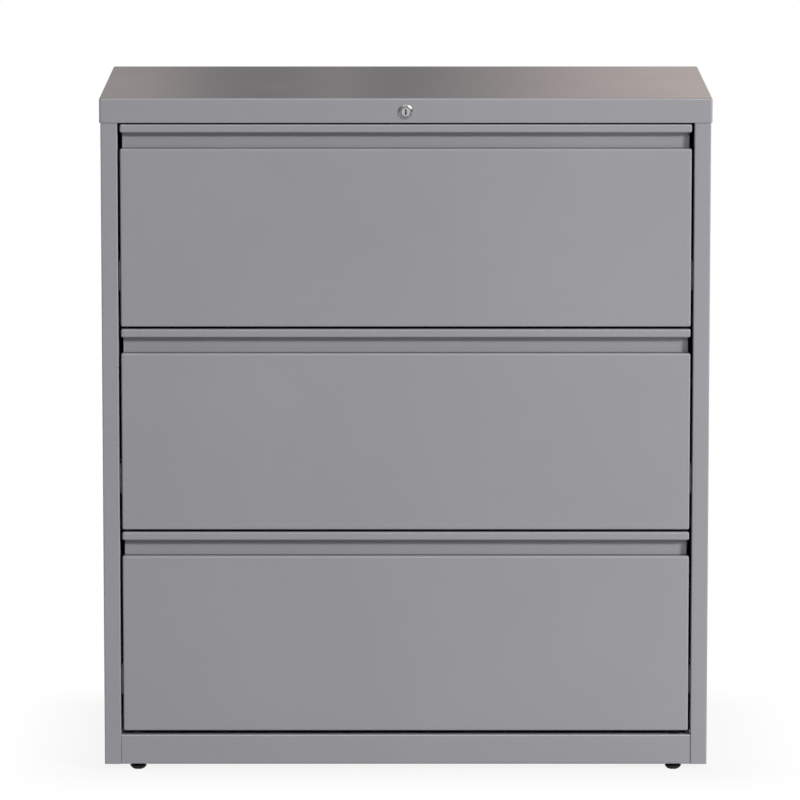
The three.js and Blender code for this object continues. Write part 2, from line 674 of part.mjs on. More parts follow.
/** Tab riveted to the back of the lock bar; raised, it stands in front of a drawer's catch. */
function lockTab() {
  const right = STILE_INNER + BAR_WIDTH;
  return box(STILE_INNER - TAB_REACH, TAB_FRONT, TAB_LOW, right, TAB_BACK, TAB_LOW + LOCK_TRAVEL);
}

/** Guide block on the side panel; the lock bar's edge runs in its groove. */
function barGuide(middle) {
  const { wall, grip, length } = BAR_GUIDE;
  const edge = STILE_INNER + BAR_WIDTH;
  const [low, high] = [middle - length / 2, middle + length / 2];
  const [near, far] = [BAR_FRONT - SEAT, BAR_BACK + SEAT];
  const block = box(edge - grip, near - wall, low, CASE_INNER, far + wall, high);
  const groove = box(edge - grip - OVERCUT, near, low - OVERCUT, edge + SEAT, far, high + OVERCUT);
  return block.subtract(groove);
}

function addLock() {
  const lock = new THREE.Group();
  addPiece(lock, "lock_housing", lockHousing(), CHROME);
  addPiece(lock, "lock_nut", lockNut(), ZINC);
  addPiece(lock, "lock_plug", lockPlug(), CHROME);
  addPiece(lock, "lock_cam", lockCam(), ZINC);
  addPiece(lock, "lock_link", lockLink(), ZINC);
  addPiece(lock, "lock_bar", lockBar(), ZINC);
  const tab = lockTab();
  DRAWERS.forEach((level, i) => {
    addPiece(lock, `${level}_lock_tab`, tab, ZINC).position.z = FIRST_DRAWER + i * DRAWER_PITCH;
  });
  addPiece(lock, "lower_bar_guide", barGuide(FIRST_DRAWER + DRAWER_PITCH), NYLON);
  addPiece(lock, "upper_bar_guide", barGuide(FIRST_DRAWER + 2 * DRAWER_PITCH), NYLON);
  cabinet.add(lock);
}

addCase();
addGlides();
addDrawers();
addLock();

export default cabinet;
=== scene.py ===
"""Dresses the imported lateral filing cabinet: fine sheet-metal shapes, finishes and a small studio."""

import logging
import math
from dataclasses import dataclass, fields
from enum import Enum
from typing import Optional, Sequence, Union

import bmesh
import bpy
from mathutils import Matrix, Vector


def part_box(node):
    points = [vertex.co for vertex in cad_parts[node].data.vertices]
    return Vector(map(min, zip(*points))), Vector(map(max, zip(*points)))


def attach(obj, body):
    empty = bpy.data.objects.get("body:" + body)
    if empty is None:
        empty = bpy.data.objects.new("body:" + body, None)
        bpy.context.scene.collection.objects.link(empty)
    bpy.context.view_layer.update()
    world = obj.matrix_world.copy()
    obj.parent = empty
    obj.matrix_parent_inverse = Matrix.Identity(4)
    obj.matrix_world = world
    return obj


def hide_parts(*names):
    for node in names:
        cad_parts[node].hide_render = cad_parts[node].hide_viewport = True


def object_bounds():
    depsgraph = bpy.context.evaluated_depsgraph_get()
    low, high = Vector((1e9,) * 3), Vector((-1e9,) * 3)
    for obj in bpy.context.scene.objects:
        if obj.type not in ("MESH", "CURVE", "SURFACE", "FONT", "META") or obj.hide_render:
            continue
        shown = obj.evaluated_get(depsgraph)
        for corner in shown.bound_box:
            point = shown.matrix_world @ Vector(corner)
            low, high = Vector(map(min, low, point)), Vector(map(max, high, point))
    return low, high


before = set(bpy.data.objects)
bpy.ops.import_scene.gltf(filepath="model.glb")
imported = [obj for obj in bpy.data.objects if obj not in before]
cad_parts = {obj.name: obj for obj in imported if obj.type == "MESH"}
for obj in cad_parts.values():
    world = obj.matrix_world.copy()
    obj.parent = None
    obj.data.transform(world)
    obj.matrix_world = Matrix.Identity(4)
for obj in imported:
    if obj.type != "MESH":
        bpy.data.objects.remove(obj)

LOG = logging.getLogger("cabinet")
MM = 0.001
CAD_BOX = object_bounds()

CASE = "case"
LEVELS = ("bottom", "middle", "top")
SIDES = {"left": -1, "right": 1}
ROWS = ("front", "rear")
CORNERS = ("front_left", "front_right", "rear_left", "rear_right")
RAILS = ("case_rail", "middle_rail", "drawer_rail")

# Fineness of the modelled surfaces
BEND_STEPS = 6
CORNER_STEPS = 6
TURNED_STEPS = 72
EASE_STEPS = 2
SHARP_ANGLE = math.radians(38)
FLAT_ANGLE = math.radians(1)
EASED_ANGLE = math.radians(50)
MERGE_DISTANCE = 1e-6
LEAST_RADIUS = 0.08 * MM

# Width of eased edges on cut sheet and on thicker pieces
FINE_EASE = 0.3 * MM
WIDE_EASE = 0.6 * MM

# Mesh attribute, from 0 to 1, where painted shade darkens the drawer recesses' ledges
PAINTED_LEDGE_SHADE = "painted_ledge_shade"

UP = Vector((0, 0, 1))
TO_REAR = Vector((0, 1, 0))

Point = tuple[float, float]
Triple = tuple[float, float, float]
Colour = Triple
Ring = list[Vector]
Spot = tuple[Vector, Vector]

WHITE: Colour = (1.0, 1.0, 1.0)


# Shader graphs

class Wire:
    """A node socket in an expression: arithmetic on wires adds Math nodes."""

    def __init__(self, graph: "Graph", socket: Optional[bpy.types.NodeSocket]) -> None:
        """Keeps the graph and the socket."""
        self.graph = graph
        self.socket = socket

    def _math(self, operation: str, first: "Number", second: "Number") -> "Wire":
        """Adds one Math node and gives the wire of its result."""
        return self.graph.make("ShaderNodeMath", {"operation": operation}, {0: first, 1: second})

    def __add__(self, other: "Number") -> "Wire":
        """Sum of two values."""
        return self._math("ADD", self, other)

    def __radd__(self, other: "Number") -> "Wire":
        """Sum with a plain number in front."""
        return self._math("ADD", other, self)

    def __sub__(self, other: "Number") -> "Wire":
        """Difference of two values."""
        return self._math("SUBTRACT", self, other)

    def __rsub__(self, other: "Number") -> "Wire":
        """Difference from a plain number."""
        return self._math("SUBTRACT", other, self)

    def __mul__(self, other: "Number") -> "Wire":
        """Product of two values."""
        return self._math("MULTIPLY", self, other)

    def __rmul__(self, other: "Number") -> "Wire":
        """Product with a plain number in front."""
        return self._math("MULTIPLY", other, self)

    def __abs__(self) -> "Wire":
        """Value without its sign."""
        return self._math("ABSOLUTE", self, 0.0)


Number = Union[Wire, float]


@dataclass(frozen=True)
class Grain:
    """A noise of a finish: features per metre, finer octaves and the scale along each axis."""

    scale: float
    detail: float
    stretch: Optional[Triple] = None


class Graph:
    """A node tree with one way to add a node."""

    def __init__(self, tree: bpy.types.NodeTree) -> None:
        """Empties the tree and keeps it."""
        self.tree = tree
        tree.nodes.clear()

    def make(self, kind: str, settings: Optional[dict] = None, sockets: Optional[dict] = None,
             out: Union[int, str] = 0) -> Wire:
        """Adds a node.

        Args:
            kind: The node's type.
            settings: Its own settings, set before its sockets.
            sockets: A value or a wire for each input, by name or place.
            out: The output to go on with, by name or place.

        Returns:
            The wire of that output.
        """
        node = self.tree.nodes.new(kind)
        for name, value in (settings or {}).items():
            setattr(node, name, value)
        for key, value in (sockets or {}).items():
            self.feed(node.inputs[key], value)
        return Wire(self, node.outputs[out] if len(node.outputs) else None)

    def feed(self, socket: bpy.types.NodeSocket, value: object) -> None:
        """Links a wire to a socket, or sets the socket's own value.

        Args:
            socket: The input.
            value: A wire, a number, a vector or a colour.
        """
        if isinstance(value, Wire):
            self.tree.links.new(value.socket, socket)
        elif socket.type == "RGBA" and len(value) == 3:
            socket.default_value = (*value, 1)
        else:
            socket.default_value = value

    def split(self, vector: Wire) -> list[Wire]:
        """The x, y and z of a vector."""
        parts = self.make("ShaderNodeSeparateXYZ", None, {0: vector}).socket.node.outputs
        return [Wire(self, part) for part in parts]

    def noise(self, place: Wire, grain: Grain) -> Wire:
        """Noise around 0.5.

        Args:
            place: The coordinates it lies on.
            grain: Its scale, detail and stretch.

        Returns:
            The wire of its value.
        """
        if grain.stretch:
            place = self.make("ShaderNodeMapping", None, {"Vector": place, "Scale": grain.stretch})
        sockets = {"Vector": place, "Scale": grain.scale, "Detail": grain.detail}
        return self.make("ShaderNodeTexNoise", None, sockets)

    def ramp(self, value: Wire, low: float, high: float) -> Wire:
        """Value from 0 at low to 1 at high."""
        return self.make("ShaderNodeMapRange", None, {"Value": value, "From Min": low, "From Max": high})

    def blend(self, factor: Number, first: Union[Wire, Colour], second: Union[Wire, Colour]) -> Wire:
        """Mix of two colours by a factor."""
        settings = {"data_type": "RGBA"}
        return self.make("ShaderNodeMix", settings, {0: factor, 6: first, 7: second}, out=2)

    def bump(self, height: Wire, depth: float, strength: float) -> Wire:
        """Normal of a height from 0 to 1 that stands for a depth in metres."""
        sockets = {"Height": height, "Distance": depth, "Strength": strength}
        return self.make("ShaderNodeBump", None, sockets)


def swing(noise: Wire, span: float) -> Wire:
    """Noise made to swing about zero over a span."""
    return (noise - 0.5) * span


# Finishes

@dataclass(frozen=True)
class Finish:
    """A finish of the cabinet: one node material, made on first use."""

    label: str
    slot: str
    colour: Colour
    roughness: float
    metallic: float = 0.0

    def surface(self, graph: Graph, place: Wire) -> dict:
        """What varies over the surface, by the shader's socket names."""
        raise NotImplementedError

    def toned(self, graph: Graph, factor: Wire, tones: Point) -> Wire:
        """The finish's colour between a darker and a lighter tone."""
        dark, light = (tuple(channel * tone for channel in self.colour) for tone in tones)
        return graph.blend(factor, dark, light)

    def material(self) -> bpy.types.Material:
        """Material of this finish.

        Returns:
            The material, shared by every piece with the finish.
        """
        known = bpy.data.materials.get(self.label)
        if known:
            return known
        material = bpy.data.materials.new(self.label)
        material.use_nodes = True
        graph = Graph(material.node_tree)
        place = graph.make("ShaderNodeTexCoord", out="Object")
        sockets = {"Metallic": self.metallic, **self.surface(graph, place)}
        shader = graph.make("ShaderNodeBsdfPrincipled", None, sockets)
        graph.make("ShaderNodeOutputMaterial", None, {"Surface": shader})
        return material


@dataclass(frozen=True)
class PowderCoat(Finish):
    """Satin powder coat: orange peel, small specks, a faint unevenness, and painted shade on the drawer
    recesses' ledges.
    """

    cloud: Grain = Grain(3.2, 3.0)
    cloud_range: Point = (0.4, 0.9)
    tones: Point = (0.965, 1.035)
    speck: Grain = Grain(2600.0, 1.0)
    speck_share: float = 0.25
    speck_span: float = 0.08
    peel: Grain = Grain(620.0, 2.0)
    peel_depth: float = 0.05 * MM
    peel_strength: float = 0.55
    wipe: Grain = Grain(5.0, 4.0, (1.0, 1.0, 0.25))
    wipe_span: float = 0.10
    specular: float = 0.55
    # Painted shade on recess ledges: its near-black colour, how far it goes, and its rise in roughness
    shade_colour: Colour = (0.05, 0.05, 0.052)
    shade_share: float = 0.9
    shade_roughness: float = 0.4
    level_range: Point = (0.9, 1.0)
    flow_out: float = 0.14

    def surface(self, graph: Graph, place: Wire) -> dict:
        """Tone, gloss and relief of the coat.

        Args:
            graph: The material's graph.
            place: Object coordinates.

        Returns:
            What varies over the surface, by the shader's socket names.
        """
        cloud, speck, peel, wiped = (
            graph.noise(place, grain) for grain in (self.cloud, self.speck, self.peel, self.wipe)
        )
        # Painted shade: the recess-ledge mask blends the colour towards near-black and raises the roughness
        shade_mask = graph.make("ShaderNodeAttribute", {"attribute_name": PAINTED_LEDGE_SHADE}, out="Fac")
        facing = graph.make("ShaderNodeNewGeometry", out="Normal")
        level = graph.ramp(graph.split(facing)[2], *self.level_range)
        tone = graph.ramp(cloud + speck * self.speck_share, *self.cloud_range)
        rough = self.roughness + swing(wiped, self.wipe_span) + swing(speck, self.speck_span)
        full = self.toned(graph, tone, self.tones)
        return {
            "Base Color": graph.blend(shade_mask * self.shade_share, full, self.shade_colour),
            "Roughness": rough + shade_mask * self.shade_roughness - level * self.flow_out,
            "Specular IOR Level": self.specular,
            "Normal": graph.bump(peel, self.peel_depth, self.peel_strength),
        }


@dataclass(frozen=True)
class ZincPlate(Finish):
    """Bright or black zinc plate: rolled streaks and a faint passivation tint."""

    tint: Colour = (0.50, 0.50, 0.42)
    tint_share: float = 0.45
    tint_range: Point = (0.45, 0.75)
    bloom: Grain = Grain(14.0, 4.0)
    bloom_span: float = 0.16
    streak: Grain = Grain(260.0, 3.0, (1.0, 0.04, 1.0))
    streak_range: Point = (0.3, 0.7)
    streak_span: float = 0.10
    streak_depth: float = 0.02 * MM
    streak_strength: float = 0.35
    tones: Point = (0.9, 1.06)

    def surface(self, graph: Graph, place: Wire) -> dict:
        """Tone, gloss and relief of the plating.

        Args:
            graph: The material's graph.
            place: Object coordinates.

        Returns:
            What varies over the surface, by the shader's socket names.
        """
        streak, bloom = graph.noise(place, self.streak), graph.noise(place, self.bloom)
        pale = self.toned(graph, graph.ramp(streak, *self.streak_range), self.tones)
        return {
            "Base Color": graph.blend(graph.ramp(bloom, *self.tint_range) * self.tint_share, pale, self.tint),
            "Roughness": self.roughness + swing(bloom, self.bloom_span) + swing(streak, self.streak_span),
            "Normal": graph.bump(streak, self.streak_depth, self.streak_strength),
        }


@dataclass(frozen=True)
class Chrome(Finish):
    """Bright or satin chrome with hairline marks from keys and fingers."""

    hair: Grain = Grain(1400.0, 2.0, (1.0, 1.0, 0.08))
    hair_range: Point = (0.55, 0.8)
    hair_rise: float = 0.10
    film: Grain = Grain(160.0, 3.0)
    film_span: float = 0.06
    tones: Point = (0.94, 1.04)

    def surface(self, graph: Graph, place: Wire) -> dict:
        """Tone and gloss of the plating.

        Args:
            graph: The material's graph.
            place: Object coordinates.

        Returns:
            What varies over the surface, by the shader's socket names.
        """
        hair, film = graph.noise(place, self.hair), graph.noise(place, self.film)
        marks = graph.ramp(hair, *self.hair_range) * self.hair_rise
        return {
            "Base Color": self.toned(graph, film, self.tones),
            "Roughness": self.roughness + marks + swing(film, self.film_span),
        }


@dataclass(frozen=True)
class MouldedBlack(Finish):
    """Black moulded foot: fine grain, with scuffs near the floor."""

    grain: Grain = Grain(1900.0, 2.0)
    grain_span: float = 0.1
    grain_depth: float = 0.04 * MM
    grain_strength: float = 0.5
    scuff: Grain = Grain(420.0, 4.0)
    scuff_range: Point = (0.5, 0.75)
    scuff_height: float = 3.0 * MM
    scuff_tone: Colour = (0.06, 0.06, 0.062)
    scuff_share: float = 0.5
    scuff_rise: float = 0.2

    def surface(self, graph: Graph, place: Wire) -> dict:
        """Tone, gloss and relief of the moulding.

        Args:
            graph: The material's graph.
            place: Object coordinates.

        Returns:
            What varies over the surface, by the shader's socket names.
        """
        grain = graph.noise(place, self.grain)
        low = graph.ramp(graph.split(place)[2], self.scuff_height, 0.0)
        scuff = low * graph.ramp(graph.noise(place, self.scuff), *self.scuff_range)
        return {
            "Base Color": graph.blend(scuff * self.scuff_share, self.colour, self.scuff_tone),
            "Roughness": self.roughness + scuff * self.scuff_rise + swing(grain, self.grain_span),
            "Normal": graph.bump(grain, self.grain_depth, self.grain_strength),
        }


@dataclass(frozen=True)
class CastIron(Finish):
    """Rough sand-cast iron with rusty blooms."""

    rust: Colour = (0.16, 0.075, 0.035)
    rust_range: Point = (0.56, 0.72)
    rust_share: float = 0.6
    rust_rise: float = 0.25
    bloom: Grain = Grain(22.0, 5.0)
    sand: Grain = Grain(480.0, 5.0)
    sand_depth: float = 0.25 * MM
    sand_strength: float = 0.8

    def surface(self, graph: Graph, place: Wire) -> dict:
        """Tone, gloss and relief of the casting.

        Args:
            graph: The material's graph.
            place: Object coordinates.

        Returns:
            What varies over the surface, by the shader's socket names.
        """
        rusty = graph.ramp(graph.noise(place, self.bloom), *self.rust_range)
        sand = graph.noise(place, self.sand)
        return {
            "Base Color": graph.blend(rusty * self.rust_share, self.colour, self.rust),
            "Metallic": self.metallic * (1 - rusty),
            "Roughness": self.roughness + rusty * self.rust_rise,
            "Normal": graph.bump(sand, self.sand_depth, self.sand_strength),
        }


@dataclass(frozen=True)
class Nylon(Finish):
    """Natural nylon: cloudy, slightly yellow, with a wax-like gloss."""

    cloud: Grain = Grain(90.0, 4.0)
    cloud_span: float = 0.2
    cloud_depth: float = 0.03 * MM
    cloud_strength: float = 0.4
    tones: Point = (0.92, 1.04)

    def surface(self, graph: Graph, place: Wire) -> dict:
        """Tone, gloss and relief of the plastic.

        Args:
            graph: The material's graph.
            place: Object coordinates.

        Returns:
            What varies over the surface, by the shader's socket names.
        """
        cloud = graph.noise(place, self.cloud)
        return {
            "Base Color": self.toned(graph, cloud, self.tones),
            "Roughness": self.roughness + swing(cloud, self.cloud_span),
            "Normal": graph.bump(cloud, self.cloud_depth, self.cloud_strength),
        }


class Coat(Enum):
    """The finishes that the cabinet has."""

    PAINT = PowderCoat("powder_coat", "paint", (0.305, 0.300, 0.323), 0.32, 0.1)
    ZINC = ZincPlate("zinc_plate", "zinc", (0.56, 0.57, 0.58), 0.36, 1.0)
    BLACK_ZINC = ZincPlate("black_zinc_plate", "zinc", (0.035, 0.035, 0.037), 0.45, 1.0, (0.05, 0.05, 0.045))
    CHROME = Chrome("chrome_plate", "chrome", (0.72, 0.72, 0.73), 0.27, 1.0)
    SATIN = Chrome("satin_chrome_plate", "chrome", (0.60, 0.60, 0.61), 0.46, 0.5)
    BLACK = MouldedBlack("black_moulding", "black_paint", (0.012, 0.012, 0.013), 0.5)
    IRON = CastIron("cast_iron", "iron", (0.0675, 0.0657, 0.063), 0.62, 0.6)
    NYLON = Nylon("natural_nylon", "nylon", (0.66, 0.64, 0.56), 0.5)


# Shapes

class Axis(Enum):
    """The axis that an outline is pushed along, as the places of outline and axis in x, y and z."""

    X = (1, 2, 0)
    Y = (0, 2, 1)
    Z = (0, 1, 2)

    def point(self, first: float, second: float, along: float) -> Vector:
        """Point of an outline at a place along the axis.

        Args:
            first: The outline's first value.
            second: Its second value.
            along: The place along the axis.

        Returns:
            The point in x, y and z.
        """
        spot = Vector()
        for place, value in zip(self.value, (first, second, along)):
            spot[place] = value
        return spot


def arc(centre: Point, radius: float, start: float, end: float, steps: int) -> list[Point]:
    """Points on an arc between two angles in degrees, one more than its chords."""
    angles = [math.radians(start + (end - start) * i / steps) for i in range(steps + 1)]
    return [(centre[0] + radius * math.cos(a), centre[1] + radius * math.sin(a)) for a in angles]


def circle(middle: Point, radius: float) -> list[Point]:
    """Points round a circle."""
    return arc(middle, radius, 0, 360 - 360 / TURNED_STEPS, TURNED_STEPS - 1)


def rounded_outline(low: Point, high: Point, radius: float) -> list[Point]:
    """Rectangle with round corners.

    Args:
        low: Its lowest corner.
        high: Its highest corner.
        radius: Radius of the round corners.

    Returns:
        The closed outline.
    """
    (x0, y0), (x1, y1) = (low[0] + radius, low[1] + radius), (high[0] - radius, high[1] - radius)
    centres = ((x1, y1), (x0, y1), (x0, y0), (x1, y0))
    return [p for i, c in enumerate(centres) for p in arc(c, radius, 90 * i, 90 * i + 90, CORNER_STEPS)]


def hexagon_outline(apothem: float, radius: float) -> list[Point]:
    """Hexagon about the origin, with a flat to the front and round corners.

    Args:
        apothem: Distance from the middle to a flat.
        radius: Radius of the round corners.

    Returns:
        The closed outline.
    """
    reach = (apothem - radius) / math.cos(math.radians(30))
    points: list[Point] = []
    for turn in range(0, 360, 60):
        centre = (reach * math.cos(math.radians(turn)), reach * math.sin(math.radians(turn)))
        points += arc(centre, radius, turn - 30, turn + 30, CORNER_STEPS)
    return points


def mirrored(outline: Sequence[Point], sign: int) -> list[Point]:
    """Outline of the right side, or for a negative sign its mirror image on the left."""
    return [(sign * u, v) for u, v in outline]


def bent_sheet(path: Sequence[Point], sheet: float, bend: float) -> list[Point]:
    """Outline of a bent sheet.

    Args:
        path: One face of the sheet; the material lies on the path's left.
        sheet: Thickness.
        bend: Inner radius of every bend.

    Returns:
        The closed outline, with round bends.
    """
    spots = [Vector(p) for p in path]
    headings = [(b - a).normalized() for a, b in zip(spots, spots[1:])]
    lefts = [Vector((-h.y, h.x)) for h in headings]
    face = [spots[0]]
    back = [spots[0] + lefts[0] * sheet]
    for spot, before, after, left in zip(spots[1:], headings, headings[1:], lefts):
        turn = math.atan2(before.cross(after), before.dot(after))
        side = math.copysign(1, turn)
        radius = bend + sheet if side > 0 else bend
        centre = spot - before * radius * math.tan(abs(turn) / 2) + left * side * radius
        for step in range(BEND_STEPS + 1):
            spoke = Matrix.Rotation(turn * step / BEND_STEPS, 2) @ (left * -side)
            face.append(centre + spoke * radius)
            back.append(centre + spoke * (radius - side * sheet))
    face.append(spots[-1])
    back.append(spots[-1] + lefts[-1] * sheet)
    return [tuple(p) for p in face + back[::-1]]


def loft(rings: Sequence[Ring], closed: bool = False) -> bmesh.types.BMesh:
    """Skin through rings of as many points each.

    Args:
        rings: The rings in order.
        closed: Whether the last ring joins the first, instead of a flat face at each end.

    Returns:
        The closed form, its faces outwards.
    """
    form = bmesh.new()
    rows = [[form.verts.new(p) for p in ring] for ring in rings]
    pairs = list(zip(rows, rows[1:])) + ([(rows[-1], rows[0])] if closed else [])
    for low, high in pairs:
        for i, vertex in enumerate(low):
            form.faces.new((vertex, low[i - 1], high[i - 1], high[i]))
    if not closed:
        form.faces.new(rows[0])
        form.faces.new(rows[-1])
    bmesh.ops.recalc_face_normals(form, faces=form.faces)
    return form


def pushed(outline: Sequence[Point], axis: Axis, start: float, end: float) -> bmesh.types.BMesh:
    """Outline pushed along an axis between two places."""
    return loft([[axis.point(u, v, w) for u, v in outline] for w in (start, end)])


def turned(profile: Sequence[Point], centre: Vector) -> bmesh.types.BMesh:
    """Profile turned about the y axis through a centre.

    Args:
        profile: A closed profile, as radius and place along y.
        centre: A point on the axis.

    Returns:
        The turned form.
    """
    rings = []
    for step in range(TURNED_STEPS):
        angle = 2 * math.pi * step / TURNED_STEPS
        spoke = Vector((math.cos(angle), 0, math.sin(angle)))
        rings.append([Vector((centre.x, y, centre.z)) + spoke * radius for radius, y in profile])
    return loft(rings, closed=True)


def rod(radius: float, axis: Axis, middle: Point, start: float, end: float) -> bmesh.types.BMesh:
    """Round rod along an axis between two places."""
    return pushed(circle(middle, radius), axis, start, end)


def joined(*forms: bmesh.types.BMesh) -> bmesh.types.BMesh:
    """Several forms as one.

    Args:
        forms: The forms, which are used up.

    Returns:
        The whole.
    """
    whole = bmesh.new()
    for form in forms:
        mesh = bpy.data.meshes.new("part")
        form.to_mesh(mesh)
        form.free()
        whole.from_mesh(mesh)
        bpy.data.meshes.remove(mesh)
    return whole


@dataclass(frozen=True)
class Pan:
    """A sheet pressed into a pan: a flat floor, rolled edges and walls all round."""

    low: Point
    high: Point
    axis: Axis
    floor: float
    depth: float
    sheet: float
    roll: float
    corner: float
    hem: float = 0.0

    def profile(self) -> list[Point]:
        """Section of the pan's edge.

        Returns:
            Insets and levels from the inner floor over the rim to the outer floor.
        """
        inner = max(self.roll - self.sheet, LEAST_RADIUS)
        rim = abs(self.depth)
        centre = (self.sheet + inner, self.sheet + inner)
        points = arc(centre, inner, 270, 180, BEND_STEPS)
        wall = 2 * self.sheet if self.hem else self.sheet
        if self.hem:
            points += [(self.sheet, rim - self.hem), (wall, rim - self.hem)]
        points += arc((wall / 2, rim - wall / 2), wall / 2, 0, 180, BEND_STEPS)
        points += arc((self.roll, self.roll), self.roll, 180, 270, BEND_STEPS)
        return points

    def form(self) -> bmesh.types.BMesh:
        """Shape of the pan.

        Returns:
            The closed form.
        """
        way = math.copysign(1, self.depth)
        rings = []
        for inset, level in self.profile():
            low = (self.low[0] + inset, self.low[1] + inset)
            high = (self.high[0] - inset, self.high[1] - inset)
            outline = rounded_outline(low, high, max(self.corner - inset, LEAST_RADIUS))
            rings.append([self.axis.point(u, v, self.floor + way * level) for u, v in outline])
        return loft(rings)


def softened(node: str, width: float) -> bmesh.types.BMesh:
    """Copy of a node's shape with its sharp edges eased.

    Args:
        node: The node.
        width: Width of the eased edge.

    Returns:
        The new form.
    """
    form = bmesh.new()
    form.from_mesh(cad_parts[node].data)
    bmesh.ops.remove_doubles(form, verts=form.verts, dist=MERGE_DISTANCE)
    bmesh.ops.dissolve_limit(form, angle_limit=FLAT_ANGLE, verts=form.verts, edges=form.edges)
    sharp = [e for e in form.edges if len(e.link_faces) == 2 and e.calc_face_angle() > EASED_ANGLE]
    bmesh.ops.bevel(form, geom=sharp, offset=width, offset_type="OFFSET", segments=EASE_STEPS, profile=0.5,
                    affect="EDGES", clamp_overlap=True)
    return form


def middle_of(node: str) -> Vector:
    """Middle of a node's box."""
    low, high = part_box(node)
    return (low + high) / 2


# Pieces

def plain_mesh(piece: bpy.types.Object) -> None:
    """Turns what the modifiers make into the piece's own mesh and removes them.

    Args:
        piece: The piece.
    """
    graph = bpy.context.evaluated_depsgraph_get()
    mesh = bpy.data.meshes.new_from_object(piece.evaluated_get(graph), depsgraph=graph)
    piece.modifiers.clear()
    piece.data = mesh


def linked(name: str, data: bpy.types.ID) -> bpy.types.Object:
    """Object in the scene, at the origin.

    Args:
        name: The object's name.
        data: Its mesh, light or camera.

    Returns:
        The object.
    """
    thing = bpy.data.objects.new(name, data)
    bpy.context.scene.collection.objects.link(thing)
    return thing


def new_object(name: str, form: bmesh.types.BMesh) -> bpy.types.Object:
    """Object of a form.

    Args:
        name: The object's name.
        form: Its shape, which is used up.

    Returns:
        The object, at the origin.
    """
    mesh = bpy.data.meshes.new(name)
    form.to_mesh(mesh)
    form.free()
    return linked(name, mesh)


def drilled(form: bmesh.types.BMesh, *cutters: bmesh.types.BMesh) -> bmesh.types.BMesh:
    """Form with other forms cut out of it.

    Args:
        form: What is cut.
        cutters: What is taken away.

    Returns:
        The cut form.
    """
    work = new_object("work", form)
    tool = new_object("tool", joined(*cutters))
    cut = work.modifiers.new("cut", "BOOLEAN")
    cut.operation = "DIFFERENCE"
    cut.solver = "EXACT"
    cut.object = tool
    plain_mesh(work)
    result = bmesh.new()
    result.from_mesh(work.data)
    for used in (work, tool):
        bpy.data.objects.remove(used)
    return result


def hand_over(piece: bpy.types.Object, coat: Coat, body: str, nodes: Sequence[str] = ()) -> bpy.types.Object:
    """Puts a finished piece on its body.

    Args:
        piece: The piece.
        coat: Its finish.
        body: The body that it rides on.
        nodes: The nodes that it stands for.

    Returns:
        The same piece.
    """
    if not piece.data.materials:
        piece.data.materials.append(coat.value.material())
    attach(piece, body)
    if nodes:
        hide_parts(*nodes)
    LOG.info("%s rides on %s, %d faces", piece.name, body, len(piece.data.polygons))
    return piece


def add_piece(name: str, form: bmesh.types.BMesh, coat: Coat, body: str, *nodes: str) -> bpy.types.Object:
    """Smooth-shaded piece of a form, its flat faces kept flat.

    Args:
        name: The piece's name.
        form: Its shape.
        coat: Its finish.
        body: The body that it rides on.
        nodes: The nodes that it stands for.

    Returns:
        The piece.
    """
    piece = new_object(name, form)
    mesh = piece.data
    mesh.polygons.foreach_set("use_smooth", [True] * len(mesh.polygons))
    mesh.set_sharp_from_angle(angle=SHARP_ANGLE)
    weighted = piece.modifiers.new("flat_faces", "WEIGHTED_NORMAL")
    weighted.keep_sharp = True
    plain_mesh(piece)
    return hand_over(piece, coat, body, nodes)


def add_softened(node: str, coat: Coat, body: str, width: float = FINE_EASE) -> bpy.types.Object:
    """Piece with a node's own shape and eased edges."""
    return add_piece(f"{node}_shape", softened(node, width), coat, body, node)


# Repeated pieces

